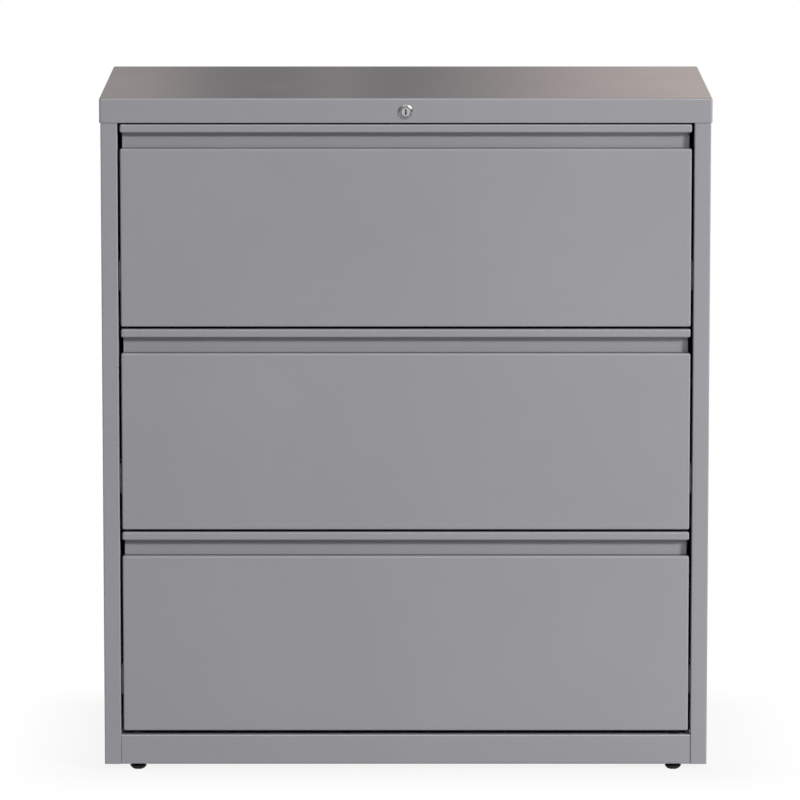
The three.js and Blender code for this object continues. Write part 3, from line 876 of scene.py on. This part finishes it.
class Repeat:
    """A Geometry Nodes tree that sets one small shape on every point of a mesh.

    The fields of each kind are the sizes of its shape, and the named inputs of its tree.
    """

    label = ""

    def sizes(self) -> dict[str, float]:
        """The tree's own inputs, by name."""
        return {size.name.capitalize(): getattr(self, size.name) for size in fields(self)}

    def wires(self, graph: Graph, group: bpy.types.Node) -> list[Wire]:
        """The wires of the tree's own inputs, in order."""
        return [Wire(graph, group.outputs[name]) for name in self.sizes()]

    def shape(self, graph: Graph, group: bpy.types.Node) -> Wire:
        """The small shape, from the group's input node."""
        raise NotImplementedError

    def tree(self) -> bpy.types.NodeTree:
        """Node tree of this repeat.

        Returns:
            The tree, made on first use.
        """
        known = bpy.data.node_groups.get(self.label)
        if known:
            return known
        tree = bpy.data.node_groups.new(self.label, "GeometryNodeTree")
        tree.interface.new_socket("Points", in_out="INPUT", socket_type="NodeSocketGeometry")
        for name, value in self.sizes().items():
            kind = "NodeSocketInt" if isinstance(value, int) else "NodeSocketFloat"
            tree.interface.new_socket(name, in_out="INPUT", socket_type=kind)
        tree.interface.new_socket("Finish", in_out="INPUT", socket_type="NodeSocketMaterial")
        tree.interface.new_socket("Pieces", in_out="OUTPUT", socket_type="NodeSocketGeometry")
        graph = Graph(tree)
        group = graph.make("NodeGroupInput").socket.node
        vector = {"data_type": "FLOAT_VECTOR"}
        facing = graph.make("GeometryNodeInputNamedAttribute", vector, {"Name": "facing"})
        turn = graph.make("FunctionNodeAlignRotationToVector", {"axis": "Z"}, {"Vector": facing})
        spread = graph.make("GeometryNodeInstanceOnPoints", None, {
            "Points": Wire(graph, group.outputs["Points"]),
            "Instance": self.shape(graph, group),
            "Rotation": turn,
        })
        real = graph.make("GeometryNodeRealizeInstances", None, {"Geometry": spread})
        smooth = graph.make("GeometryNodeSetShadeSmooth", None, {"Geometry": real})
        dressed = graph.make("GeometryNodeSetMaterial", None, {
            "Geometry": smooth, "Material": Wire(graph, group.outputs["Finish"]),
        })
        graph.make("NodeGroupOutput", None, {"Pieces": dressed})
        return tree

    def grow(self, name: str, spots: Sequence[Spot], coat: Coat, body: str) -> bpy.types.Object:
        """Piece with the shape on every spot, as a plain mesh.

        Args:
            name: The piece's name.
            spots: Place and facing of each copy.
            coat: The finish.
            body: The body that it rides on.

        Returns:
            The piece.
        """
        mesh = bpy.data.meshes.new(name)
        mesh.from_pydata([place for place, _ in spots], [], [])
        facing = mesh.attributes.new("facing", "FLOAT_VECTOR", "POINT")
        facing.data.foreach_set("vector", [value for _, way in spots for value in way])
        piece = linked(name, mesh)
        modifier = piece.modifiers.new(self.label, "NODES")
        modifier.node_group = self.tree()
        values = {"Finish": coat.value.material(), **self.sizes()}
        for item in modifier.node_group.interface.items_tree:
            if item.name in values:
                modifier[item.identifier] = values[item.name]
        plain_mesh(piece)
        return hand_over(piece, coat, body)


@dataclass(frozen=True)
class Studs(Repeat):
    """Balls, rivet heads and weld marks: a sphere pressed flat along its facing."""

    radius: float
    flatness: float
    segments: int
    rings: int

    label = "studs"

    def shape(self, graph: Graph, group: bpy.types.Node) -> Wire:
        """A flattened sphere.

        Args:
            graph: The tree's graph.
            group: Its input node.

        Returns:
            The wire of the sphere.
        """
        radius, flatness, segments, rings = self.wires(graph, group)
        ball = graph.make("GeometryNodeMeshUVSphere", None, {
            "Segments": segments, "Rings": rings, "Radius": radius,
        })
        flat = graph.make("ShaderNodeCombineXYZ", None, {"X": 1.0, "Y": 1.0, "Z": flatness})
        return graph.make("GeometryNodeTransform", None, {"Geometry": ball, "Scale": flat})


@dataclass(frozen=True)
class Threads(Repeat):
    """Threaded studs: a core with a helical ridge, partly sunk into it."""

    core: float
    ridge: float
    length: float
    turns: float

    label = "threads"
    core_facets = 24
    ridge_facets = 6
    sunk_share = 0.2

    def shape(self, graph: Graph, group: bpy.types.Node) -> Wire:
        """A core and its thread, standing up from the spot.

        Args:
            graph: The tree's graph.
            group: Its input node.

        Returns:
            The wire of core and thread.
        """
        core, ridge, length, turns = self.wires(graph, group)
        bar = graph.make("GeometryNodeMeshCylinder", None, {
            "Vertices": self.core_facets, "Radius": core + ridge * self.sunk_share, "Depth": length,
        })
        lift = graph.make("ShaderNodeCombineXYZ", None, {"Z": length * 0.5})
        stood = graph.make("GeometryNodeTransform", None, {"Geometry": bar, "Translation": lift})
        path = graph.make("GeometryNodeCurveSpiral", None, {
            "Resolution": self.core_facets, "Rotations": turns, "Start Radius": core, "End Radius": core,
            "Height": length,
        })
        section = graph.make("GeometryNodeCurvePrimitiveCircle", None, {
            "Resolution": self.ridge_facets, "Radius": ridge,
        })
        ridges = graph.make("GeometryNodeCurveToMesh", None, {
            "Curve": path, "Profile Curve": section, "Fill Caps": True,
        })
        whole = graph.make("GeometryNodeJoinGeometry", None, {"Geometry": stood})
        graph.feed(whole.socket.node.inputs["Geometry"], ridges)
        return whole


# The cabinet

@dataclass(frozen=True)
class Case:
    """Welded case: cap, sides, back, base rails, bottom, uprights and counterweight."""

    sheet: float = 1.0 * MM
    bend: float = 1.0 * MM
    cap_sheet: float = 1.5 * MM
    cap_roll: float = 2.6 * MM
    cap_corner: float = 3.5 * MM
    lock_hole: float = 9.5 * MM
    lock_hole_depth: float = 4.5 * MM
    stile_return: float = 15.0 * MM
    rear_flange: float = 22.0 * MM
    rail_sheet: float = 1.5 * MM
    access_hole: float = 10.0 * MM
    stud_hole: float = 5.05 * MM
    drill_reach: float = 3.0 * MM
    weld: Studs = Studs(radius=3.2 * MM, flatness=0.06, segments=16, rings=6)
    weld_pitch: float = 74.0 * MM
    weld_inset: float = 9.0 * MM
    cast_edge: float = 1.5 * MM

    def top_cap(self) -> None:
        """Cap pressed as a pan, with a hole for the lock's barrel."""
        low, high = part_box("top_cap")
        pan = Pan(low.xy.to_tuple(), high.xy.to_tuple(), Axis.Z, high.z, low.z - high.z,
                  self.cap_sheet, self.cap_roll, self.cap_corner)
        plug_low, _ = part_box("lock_plug")
        middle = middle_of("lock_plug").xz.to_tuple()
        hole = rod(self.lock_hole, Axis.Y, middle, plug_low.y, low.y + self.lock_hole_depth)
        add_piece("top_cap_shell", drilled(pan.form(), hole), Coat.PAINT, CASE, "top_cap")

    def side_panel(self, side: str, sign: int) -> None:
        """Side bent in one sheet with its stile, the stile's return and a rear flange.

        Args:
            side: The side's name.
            sign: Its sign along x.
        """
        low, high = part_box("right_side_panel")
        path = [(low.x, low.y + self.stile_return), low.xy, (high.x, low.y), high.xy,
                (high.x - self.rear_flange, high.y)]
        outline = mirrored(bent_sheet(path, self.sheet, self.bend), sign)
        form = pushed(outline, Axis.Z, low.z, high.z)
        add_piece(f"{side}_side_sheet", form, Coat.PAINT, CASE, f"{side}_side_panel")

    def base_rail(self) -> None:
        """Front base rail with holes over and under its two glides."""
        low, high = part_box("base_rail")
        path = [(high.y, high.z), (low.y, high.z), (low.y, low.z), (high.y, low.z)]
        form = pushed(bent_sheet(path, self.rail_sheet, self.bend), Axis.X, low.x, high.x)
        holes = []
        for corner in CORNERS[:2]:
            spot = middle_of(f"glide_{corner}").xy.to_tuple()
            for radius, level in ((self.access_hole, high.z), (self.stud_hole, low.z)):
                ends = (level - self.drill_reach, level + self.drill_reach)
                holes.append(rod(radius, Axis.Z, spot, *ends))
        add_piece("base_rail_channel", drilled(form, *holes), Coat.PAINT, CASE, "base_rail")

    def weld_marks(self) -> None:
        """Rows of spot welds down both edges of the back panel."""
        low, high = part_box("back_panel")
        cap_low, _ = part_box("top_cap")
        count = int((cap_low.z - low.z - 2 * self.weld_inset) / self.weld_pitch) + 1
        heights = [low.z + self.weld_inset + i * self.weld_pitch for i in range(count)]
        edges = (low.x + self.weld_inset, high.x - self.weld_inset)
        spots = [(Vector((x, high.y, z)), TO_REAR) for x in edges for z in heights]
        self.weld.grow("back_weld_marks", spots, Coat.PAINT, CASE)

    def build(self) -> None:
        """Builds and dresses every piece of the case."""
        self.top_cap()
        for side, sign in SIDES.items():
            self.side_panel(side, sign)
            for row in ROWS:
                add_softened(f"{row}_upright_{side}", Coat.ZINC, CASE)
        self.base_rail()
        for node in ("back_panel", "rear_base_rail", "bottom_panel"):
            add_softened(node, Coat.PAINT, CASE)
        add_softened("counterweight", Coat.IRON, CASE, self.cast_edge)
        self.weld_marks()


@dataclass(frozen=True)
class Slide:
    """A pair of telescopic slides, one on each side of a drawer, with balls in cages.

    A rail's rank is 0 for the case rail, 1 for the middle rail and 2 for the drawer rail.
    """

    level: str
    sheet: float = 1.2 * MM
    bend: float = 1.0 * MM
    gap: float = 3.0 * MM
    ball: Studs = Studs(radius=1.45 * MM, flatness=1.0, segments=10, rings=6)
    ball_pitch: float = 12.0 * MM
    cage_length: float = 240.0 * MM
    cage_width: float = 4.6 * MM
    cage_sheet: float = 0.8 * MM
    cage_round: float = 0.28 * MM
    rivet: Studs = Studs(radius=3.2 * MM, flatness=0.4, segments=14, rings=7)
    rivet_shares: tuple[float, ...] = (0.08, 0.36, 0.64, 0.92)

    def rail(self, rank: int) -> str:
        """The right-hand rail of a rank."""
        return f"{self.level}_{RAILS[rank]}_right"

    def rail_half(self, rank: int) -> float:
        """Half height of a rail."""
        low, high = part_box(self.rail(0))
        return (high.z - low.z) / 2 - rank * (self.sheet + self.gap)

    def channel(self, rank: int, sign: int) -> bmesh.types.BMesh:
        """Channel of one rail; only the drawer rail's flanges point outwards.

        Args:
            rank: The rail's rank.
            sign: The side's sign along x.

        Returns:
            The rail's form.
        """
        low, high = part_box(self.rail(rank))
        middle = (low.z + high.z) / 2
        web, tip, reach = high.x, low.x, self.rail_half(rank)
        if rank == 2:
            web, tip, reach = tip, web, -reach
        path = [(tip, middle - reach), (web, middle - reach), (web, middle + reach), (tip, middle + reach)]
        outline = mirrored(bent_sheet(path, self.sheet, self.bend), sign)
        return pushed(outline, Axis.Y, low.y, high.y)

    def ball_line(self, rank: int) -> Point:
        """Place of the balls that carry a rail.

        Args:
            rank: The rail's rank, from 1.

        Returns:
            Their x, and their offset from the slide's middle.
        """
        outer_low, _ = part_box(self.rail(rank - 1))
        _, inner_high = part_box(self.rail(rank))
        return (outer_low.x + inner_high.x) / 2, self.rail_half(rank) + self.gap / 2

    def cages(self, rank: int, sign: int) -> bmesh.types.BMesh:
        """The two flat ball cages of one rail.

        Args:
            rank: The rail's rank, from 1.
            sign: The side's sign along x.

        Returns:
            Both cages as one form.
        """
        x, offset = self.ball_line(rank)
        middle = middle_of(self.rail(0))
        ends = (middle.y - self.cage_length / 2, middle.y + self.cage_length / 2)
        wide, thick = self.cage_width / 2, self.cage_sheet / 2
        strips = []
        for z in (middle.z - offset, middle.z + offset):
            outline = rounded_outline((x - wide, z - thick), (x + wide, z + thick), self.cage_round)
            strips.append(pushed(mirrored(outline, sign), Axis.Y, *ends))
        return joined(*strips)

    def balls(self, rank: int, body: str) -> None:
        """Rows of balls that ride with one rail on both sides.

        Args:
            rank: The rail's rank, from 1.
            body: The rail's body.
        """
        x, offset = self.ball_line(rank)
        middle = middle_of(self.rail(0))
        count = int(self.cage_length / self.ball_pitch)
        row = [middle.y + (i - (count - 1) / 2) * self.ball_pitch for i in range(count)]
        lines = [(sign * x, middle.z + way * offset) for sign in SIDES.values() for way in (-1, 1)]
        spots = [(Vector((u, y, v)), UP) for u, v in lines for y in row]
        self.ball.grow(f"{body}_balls", spots, Coat.CHROME, body)

    def rivets(self, body: str) -> None:
        """Rivets that hold the drawer rails to the pan.

        Args:
            body: The drawer's body.
        """
        low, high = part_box(self.rail(2))
        x, z = low.x + self.sheet, (low.z + high.z) / 2
        row = [low.y + (high.y - low.y) * share for share in self.rivet_shares]
        spots = [(Vector((sign * x, y, z)), Vector((sign, 0, 0))) for sign in SIDES.values() for y in row]
        self.rivet.grow(f"{body}_rail_rivets", spots, Coat.ZINC, body)

    def build(self) -> None:
        """Builds both slides of the drawer."""
        bodies = (CASE, f"{self.level}_middle_rails", f"{self.level}_drawer")
        for rank, (kind, body) in enumerate(zip(RAILS, bodies)):
            for side, sign in SIDES.items():
                node = f"{self.level}_{kind}_{side}"
                form = self.channel(rank, sign)
                if rank:
                    form = joined(form, self.cages(rank, sign))
                add_piece(f"{node}_channel", form, Coat.ZINC, body, node)
            if rank:
                self.balls(rank, body)
        self.rivets(bodies[2])


@dataclass(frozen=True)
class Drawer:
    """One drawer: front with its finger recess, pan, hang bars and lock catch."""

    level: str
    sheet: float = 1.0 * MM
    roll: float = 2.2 * MM
    corner: float = 2.6 * MM
    end_return: float = 13.0 * MM
    lip_height: float = 12.4 * MM
    recess_height: float = 24.4 * MM
    recess_inset: float = 3.2 * MM
    lap: float = 1.2 * MM
    lap_step: float = 0.05 * MM
    ledge_reach: float = 2.0 * MM
    pan_roll: float = 2.2 * MM
    hem: float = 10.0 * MM

    @property
    def body(self) -> str:
        """The drawer's body."""
        return f"{self.level}_drawer"

    def front(self) -> None:
        """Front of one sheet: lip, finger recess and face, their ends turned back."""
        node = f"{self.level}_drawer_front"
        low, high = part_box(node)
        lip = high.z - self.lip_height
        ledge = lip - self.recess_height
        shared = (self.sheet, self.roll, self.corner)
        face = Pan((low.x, low.z), (high.x, ledge), Axis.Y, low.y, self.end_return, *shared)
        pull = Pan((low.x, lip), (high.x, high.z), Axis.Y, low.y, self.end_return, *shared)
        start, back = low.y + self.end_return - self.lap, high.y - self.sheet
        roof, shelf = lip + self.lap_step, ledge - self.lap_step
        path = [(start, roof), (back, roof), (back, shelf), (start, shelf)]
        ends = (low.x + self.recess_inset, high.x - self.recess_inset)
        recess = pushed(bent_sheet(path, self.sheet, self.sheet), Axis.X, *ends)
        form = joined(face.form(), pull.form(), recess)
        sheet = add_piece(f"{self.level}_front_sheet", form, Coat.PAINT, self.body, node)
        # Painted shade on the finger recess's ledge
        self.shade_ledge(sheet.data, ledge, low.y + self.roll, back)

    def shade_ledge(self, mesh: bpy.types.Mesh, ledge: float, start: float, back: float) -> None:
        """Marks the recess's ledge for painted shade, stronger towards the back.

        Args:
            mesh: The front's mesh.
            ledge: Height of the ledge.
            start: Where the ledge's front edge ends.
            back: Face of the recess's back wall.
        """
        # Painted shade on the ledge, from none at its front edge to full at the back
        shade_mask = mesh.attributes.new(PAINTED_LEDGE_SHADE, "FLOAT", "POINT")
        for vertex, value in zip(mesh.vertices, shade_mask.data):
            on_ledge = abs(vertex.co.z - ledge) < self.ledge_reach and vertex.co.y < back - self.lap_step
            share = (vertex.co.y - start) / (self.end_return - self.roll)
            value.value = min(max(share, 0.0), 1.0) if on_ledge else 0.0

    def pan(self) -> None:
        """Open pan with rolled corners and a hem round its rim."""
        node = f"{self.level}_drawer_pan"
        low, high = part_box(node)
        pan = Pan(low.xy.to_tuple(), high.xy.to_tuple(), Axis.Z, low.z, high.z - low.z, self.sheet,
                  self.pan_roll, self.corner, self.hem)
        add_piece(f"{self.level}_pan_sheet", pan.form(), Coat.PAINT, self.body, node)

    def build(self) -> None:
        """Builds and dresses the drawer and its slides."""
        self.front()
        self.pan()
        for row in ROWS:
            add_softened(f"{self.level}_{row}_hang_bar", Coat.ZINC, self.body, WIDE_EASE)
        add_softened(f"{self.level}_lock_catch", Coat.BLACK_ZINC, self.body)
        Slide(self.level).build()


@dataclass(frozen=True)
class Lock:
    """Lock in the cap's apron, with a link to a bar behind the right stile."""

    bore: float = 7.3 * MM
    bezel: float = 11.0 * MM
    bezel_slope: float = 2.3 * MM
    bezel_drop: float = 1.8 * MM
    dish: float = 0.6 * MM
    barrel: float = 9.2 * MM
    apron_gap: float = 0.3 * MM
    chamfer: float = 0.5 * MM
    key_width: float = 2.2 * MM
    key_height: float = 8.5 * MM
    key_depth: float = 7.0 * MM
    ward: float = 0.7 * MM
    rivet: Studs = Studs(radius=2.2 * MM, flatness=0.4, segments=12, rings=6)
    rivet_shares: Point = (0.28, 0.72)

    def housing(self) -> None:
        """Bezel and barrel turned in one piece, the bezel sloped outside and dished towards the plug."""
        low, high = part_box("lock_housing")
        cap_low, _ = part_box("top_cap")
        seat = cap_low.y - self.apron_gap
        profile = [(self.bore, low.y + self.dish), (self.bore + self.dish / 2, low.y),
                   (self.bezel - self.bezel_slope, low.y), (self.bezel, low.y + self.bezel_drop),
                   (self.bezel, seat), (self.barrel, seat), (self.barrel, high.y), (self.bore, high.y)]
        add_piece("lock_bezel", turned(profile, (low + high) / 2), Coat.CHROME, CASE, "lock_housing")

    def plug(self) -> None:
        """Plug with an eased face and a warded keyway, its inside walls given black zinc as painted shade."""
        low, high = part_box("lock_plug")
        middle = (low + high) / 2
        radius = (high.x - low.x) / 2
        rings = []
        for size, y in ((radius - self.chamfer, low.y), (radius, low.y + self.chamfer), (radius, high.y)):
            rings.append([Axis.Y.point(u, v, y) for u, v in circle((middle.x, middle.z), size)])
        half, tall = self.key_width / 2, self.key_height / 2
        keyway = [(-half, -tall), (half, -tall), (half, -self.ward), (half + self.ward, -self.ward),
                  (half + self.ward, self.ward), (half, self.ward), (half, tall), (-half, tall),
                  (-half, 2 * self.ward), (0.0, self.ward), (-half, 0.0)]
        outline = [(middle.x + u, middle.z + v) for u, v in keyway]
        slot = pushed(outline, Axis.Y, low.y - self.chamfer, low.y + self.key_depth)
        form = drilled(loft(rings), slot)
        plug = add_piece("lock_plug_face", form, Coat.SATIN, "lock_cylinder", "lock_plug")
        # Painted shade: the keyway's inside walls take the black zinc finish so the slot reads dark
        plug.data.materials.append(Coat.BLACK_ZINC.value.material())
        front, rear = low.y + self.chamfer / 2, high.y - self.chamfer
        for face in plug.data.polygons:
            inside = (face.center - middle).xz.length < tall and front < face.center.y < rear
            face.material_index = int(inside)

    def tab_rivets(self) -> None:
        """Two rivets through each tab of the lock bar."""
        x = middle_of("lock_bar").x
        spots = []
        for level in LEVELS:
            low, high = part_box(f"{level}_lock_tab")
            for share in self.rivet_shares:
                spots.append((Vector((x, high.y, low.z + (high.z - low.z) * share)), TO_REAR))
        self.rivet.grow("lock_tab_rivets", spots, Coat.ZINC, "lock_bar")

    def build(self) -> None:
        """Builds and dresses the lock and its works."""
        self.housing()
        self.plug()
        add_softened("lock_nut", Coat.ZINC, CASE)
        add_softened("lock_cam", Coat.ZINC, "lock_cylinder")
        add_softened("lock_link", Coat.ZINC, "lock_link")
        for node in ("lock_bar", *(f"{level}_lock_tab" for level in LEVELS)):
            add_softened(node, Coat.BLACK_ZINC, "lock_bar")
        self.tab_rivets()
        for node in ("lower_bar_guide", "upper_bar_guide"):
            add_softened(node, Coat.NYLON, CASE, WIDE_EASE)


@dataclass(frozen=True)
class Glide:
    """Levelling glide: a black hexagonal foot, narrower at the floor, on a threaded stud."""

    corner: str
    foot_height: float = 5.6 * MM
    flats: float = 22.3 * MM
    edge: float = 0.9 * MM
    ease: float = 0.54 * MM
    taper: float = 3.2 * MM
    stud: float = 9.5 * MM
    ridge: float = 0.55 * MM
    pitch: float = 1.6 * MM

    def build(self) -> None:
        """Builds and dresses foot and stud."""
        node = f"glide_{self.corner}"
        low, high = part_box(node)
        middle = (low + high) / 2
        apothem = self.flats / 2
        rings = []
        for inset, z in ((self.taper + self.ease, 0.0), (self.taper, self.ease),
                         (0.0, self.foot_height - 2 * self.ease), (0.0, self.foot_height - self.ease),
                         (self.ease, self.foot_height)):
            outline = hexagon_outline(apothem - inset, self.edge)
            rings.append([Vector((middle.x + u, middle.y + v, low.z + z)) for u, v in outline])
        add_piece(f"{node}_foot", loft(rings), Coat.BLACK, node, node)
        length = high.z - low.z - self.foot_height - self.ridge
        thread = Threads(self.stud / 2 - self.ridge, self.ridge, length, length / self.pitch)
        spot = (Vector((middle.x, middle.y, low.z + self.foot_height)), UP)
        thread.grow(f"{node}_stud", [spot], Coat.BLACK, node)


# Studio

@dataclass(frozen=True)
class Lamp:
    """A soft square lamp aimed at the cabinet; azimuth 0 is in front and 90 is to the right."""

    name: str
    azimuth: float
    elevation: float
    distance: float
    size: float
    power: float
    mirrored: bool = False

    def light(self) -> bpy.types.Light:
        """Light of the lamp.

        Returns:
            An area light in metres and watts.
        """
        light = bpy.data.lights.new(self.name, "AREA")
        light.shape = "SQUARE"
        light.size = self.size
        light.energy = self.power
        return light

    def build(self, target: Vector) -> None:
        """Hangs the lamp round a target and aims it there.

        Args:
            target: The point that it lights.
        """
        around, up = math.radians(self.azimuth), math.radians(self.elevation)
        away = Vector((math.sin(around) * math.cos(up), -math.cos(around) * math.cos(up), math.sin(up)))
        lamp = linked(self.name, self.light())
        lamp.visible_glossy = self.mirrored
        lamp.location = target + away * self.distance
        lamp.rotation_euler = (-away).to_track_quat("-Z", "Y").to_euler()


@dataclass(frozen=True)
class FarLamp(Lamp):
    """A lamp so far off that its light falls evenly, and that shows in polished pieces.

    Its size is an angle in degrees, and its power is in watts per square metre.
    """

    mirrored: bool = True

    def light(self) -> bpy.types.Light:
        """Light of the lamp.

        Returns:
            A light with parallel rays.
        """
        light = bpy.data.lights.new(self.name, "SUN")
        light.angle = math.radians(self.size)
        light.energy = self.power
        return light


LAMPS = (
    FarLamp("front", azimuth=4, elevation=30, distance=6.0, size=12, power=0.72),
    Lamp("key", azimuth=51, elevation=22, distance=9.0, size=0.95, power=585),
    FarLamp("glint", azimuth=58, elevation=40, distance=6.0, size=30, power=0.78),
    Lamp("right_card", azimuth=50, elevation=9, distance=2.0, size=0.8, power=6.2),
    Lamp("left_card", azimuth=-98, elevation=6, distance=4.2, size=2.0, power=85),
    Lamp("rear_left", azimuth=222, elevation=4, distance=4.2, size=2.2, power=90),
    Lamp("rear_right", azimuth=140, elevation=4, distance=4.2, size=2.2, power=60),
)


@dataclass(frozen=True)
class Studio:
    """Camera, lamps, pale floor and surround.

    The cards of the surround stand behind the cabinet, where its top mirrors them. Their places are
    parts of a direction's x, y or z, from where a card begins to show to where it shows fully.
    """

    image_width: float = 800.0
    focal_pixels: float = 6073.0
    sensor: float = 36.0
    camera_distance: float = 9.0
    eye_height: float = 1.982
    eye_offset: float = -8.6 * MM
    pitch: float = 8.55
    shift_down: float = 0.0505
    floor_size: float = 60.0
    floor_steps: int = 8
    floor_tone: float = 0.5
    mirrored_tone: float = 0.3
    shadow_reach: float = 0.16
    shadow_edge: float = 0.05
    shadow_rim: float = 0.015
    shadow_share: float = 0.12
    room: Colour = (0.056, 0.053, 0.049)
    card: Colour = (0.64, 0.535, 0.49)
    card_right: Point = (0.002, 0.044)
    card_left: Point = (-0.031, -0.040)
    card_left_share: float = 0.5
    strip_middle: float = -0.0108
    strip_half: float = 0.007
    strip_share: float = 0.3
    card_behind: Point = (0.0, 0.3)
    card_top: Point = (0.6, 0.2)
    gloss_share: float = 0.08
    overhead: Point = (0.6, 0.95)
    overhead_share: float = 0.6

    def camera(self) -> None:
        """Camera in front of the cabinet, above its top and tilted down."""
        data = bpy.data.cameras.new("camera")
        data.sensor_fit = "HORIZONTAL"
        data.sensor_width = self.sensor
        data.lens = self.sensor * self.focal_pixels / self.image_width
        data.shift_y = -self.shift_down
        data.clip_end = 4 * self.floor_size
        camera = linked("camera", data)
        cap_low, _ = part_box("top_cap")
        camera.location = (self.eye_offset, cap_low.y - self.camera_distance, self.eye_height)
        camera.rotation_euler = (math.radians(90 - self.pitch), 0, 0)
        bpy.context.scene.camera = camera

    def lamps(self) -> None:
        """Front lamp, key and glint from the right, and weaker lamps for the sides and the back."""
        low, high = CAD_BOX
        for lamp in LAMPS:
            lamp.build((low + high) / 2)

    def seen(self, graph: Graph, share: Number) -> Wire:
        """How much a ray takes the white surround: camera rays wholly, mirrored ones in part.

        Args:
            graph: The graph to add to.
            share: What mirrored rays take.

        Returns:
            The wire of the factor.
        """
        camera, glossy, through = (
            graph.make("ShaderNodeLightPath", out=name)
            for name in ("Is Camera Ray", "Is Glossy Ray", "Is Transmission Ray")
        )
        return camera + (glossy + through) * share

    def surround(self) -> None:
        """White to the camera; a dim room to the cabinet, with warm cards behind it and a pale ceiling."""
        world = bpy.data.worlds.new("surround")
        world.use_nodes = True
        bpy.context.scene.world = world
        graph = Graph(world.node_tree)
        way = graph.make("ShaderNodeTexCoord", out="Generated")
        aside, behind, above = graph.split(way)
        strip = graph.ramp(abs(aside - self.strip_middle), self.strip_half, 0.0)
        cards = graph.ramp(aside, *self.card_right) + strip * self.strip_share
        cards = cards + graph.ramp(aside, *self.card_left) * self.card_left_share
        cards = cards * graph.ramp(behind, *self.card_behind) * graph.ramp(above, *self.card_top)
        room = graph.blend(cards, self.room, self.card)
        mirrored_share = self.gloss_share + graph.ramp(above, *self.overhead) * self.overhead_share
        colour = graph.blend(self.seen(graph, mirrored_share), room, WHITE)
        shade = graph.make("ShaderNodeBackground", None, {"Color": colour, "Strength": 1.0})
        graph.make("ShaderNodeOutputWorld", None, {"Surface": shade})

    def floor(self) -> None:
        """Pale floor that keeps the cabinet's shadow near it, and its full depth under the case."""
        form = bmesh.new()
        bmesh.ops.create_grid(form, x_segments=self.floor_steps, y_segments=self.floor_steps,
                              size=self.floor_size / 2)
        floor = new_object("floor", form)
        material = bpy.data.materials.new("pale_floor")
        material.use_nodes = True
        graph = Graph(material.node_tree)
        glossy = graph.make("ShaderNodeLightPath", out="Is Glossy Ray")
        tone = graph.blend(glossy, (self.floor_tone,) * 3, (self.mirrored_tone,) * 3)
        matt = graph.make("ShaderNodeBsdfDiffuse", None, {"Color": tone})
        white = graph.make("ShaderNodeEmission", None, {"Color": WHITE, "Strength": 1.0})
        across, depth, _ = graph.split(graph.make("ShaderNodeTexCoord", out="Object"))
        across = abs(across)
        low, high = CAD_BOX
        near = graph.ramp(across, high.x + self.shadow_reach, high.x)
        near = near * graph.ramp(abs(depth), high.y + self.shadow_reach, high.y)
        under = graph.ramp(across, high.x, high.x - self.shadow_rim)
        under = under * graph.ramp(depth, low.y + self.shadow_edge, low.y + 2 * self.shadow_edge)
        under = under * graph.ramp(depth, high.y, high.y - self.shadow_rim)
        lit = (1 - near * self.shadow_share) * (1 - under)
        factor = self.seen(graph, self.gloss_share) * lit
        mixed = graph.make("ShaderNodeMixShader", None, {0: factor, 1: matt, 2: white})
        graph.make("ShaderNodeOutputMaterial", None, {"Surface": mixed})
        floor.data.materials.append(material)

    def build(self) -> None:
        """Sets up the studio and how it is shown."""
        bpy.context.scene.view_settings.view_transform = "Standard"
        self.camera()
        self.lamps()
        self.surround()
        self.floor()


def main() -> None:
    """Builds the studio and the cabinet, sub-assembly by sub-assembly."""
    logging.basicConfig(level=logging.INFO, format="%(message)s")
    Studio().build()
    Case().build()
    for level in LEVELS:
        Drawer(level).build()
    Lock().build()
    for corner in CORNERS:
        Glide(corner).build()


if __name__ == "__main__":
    main()
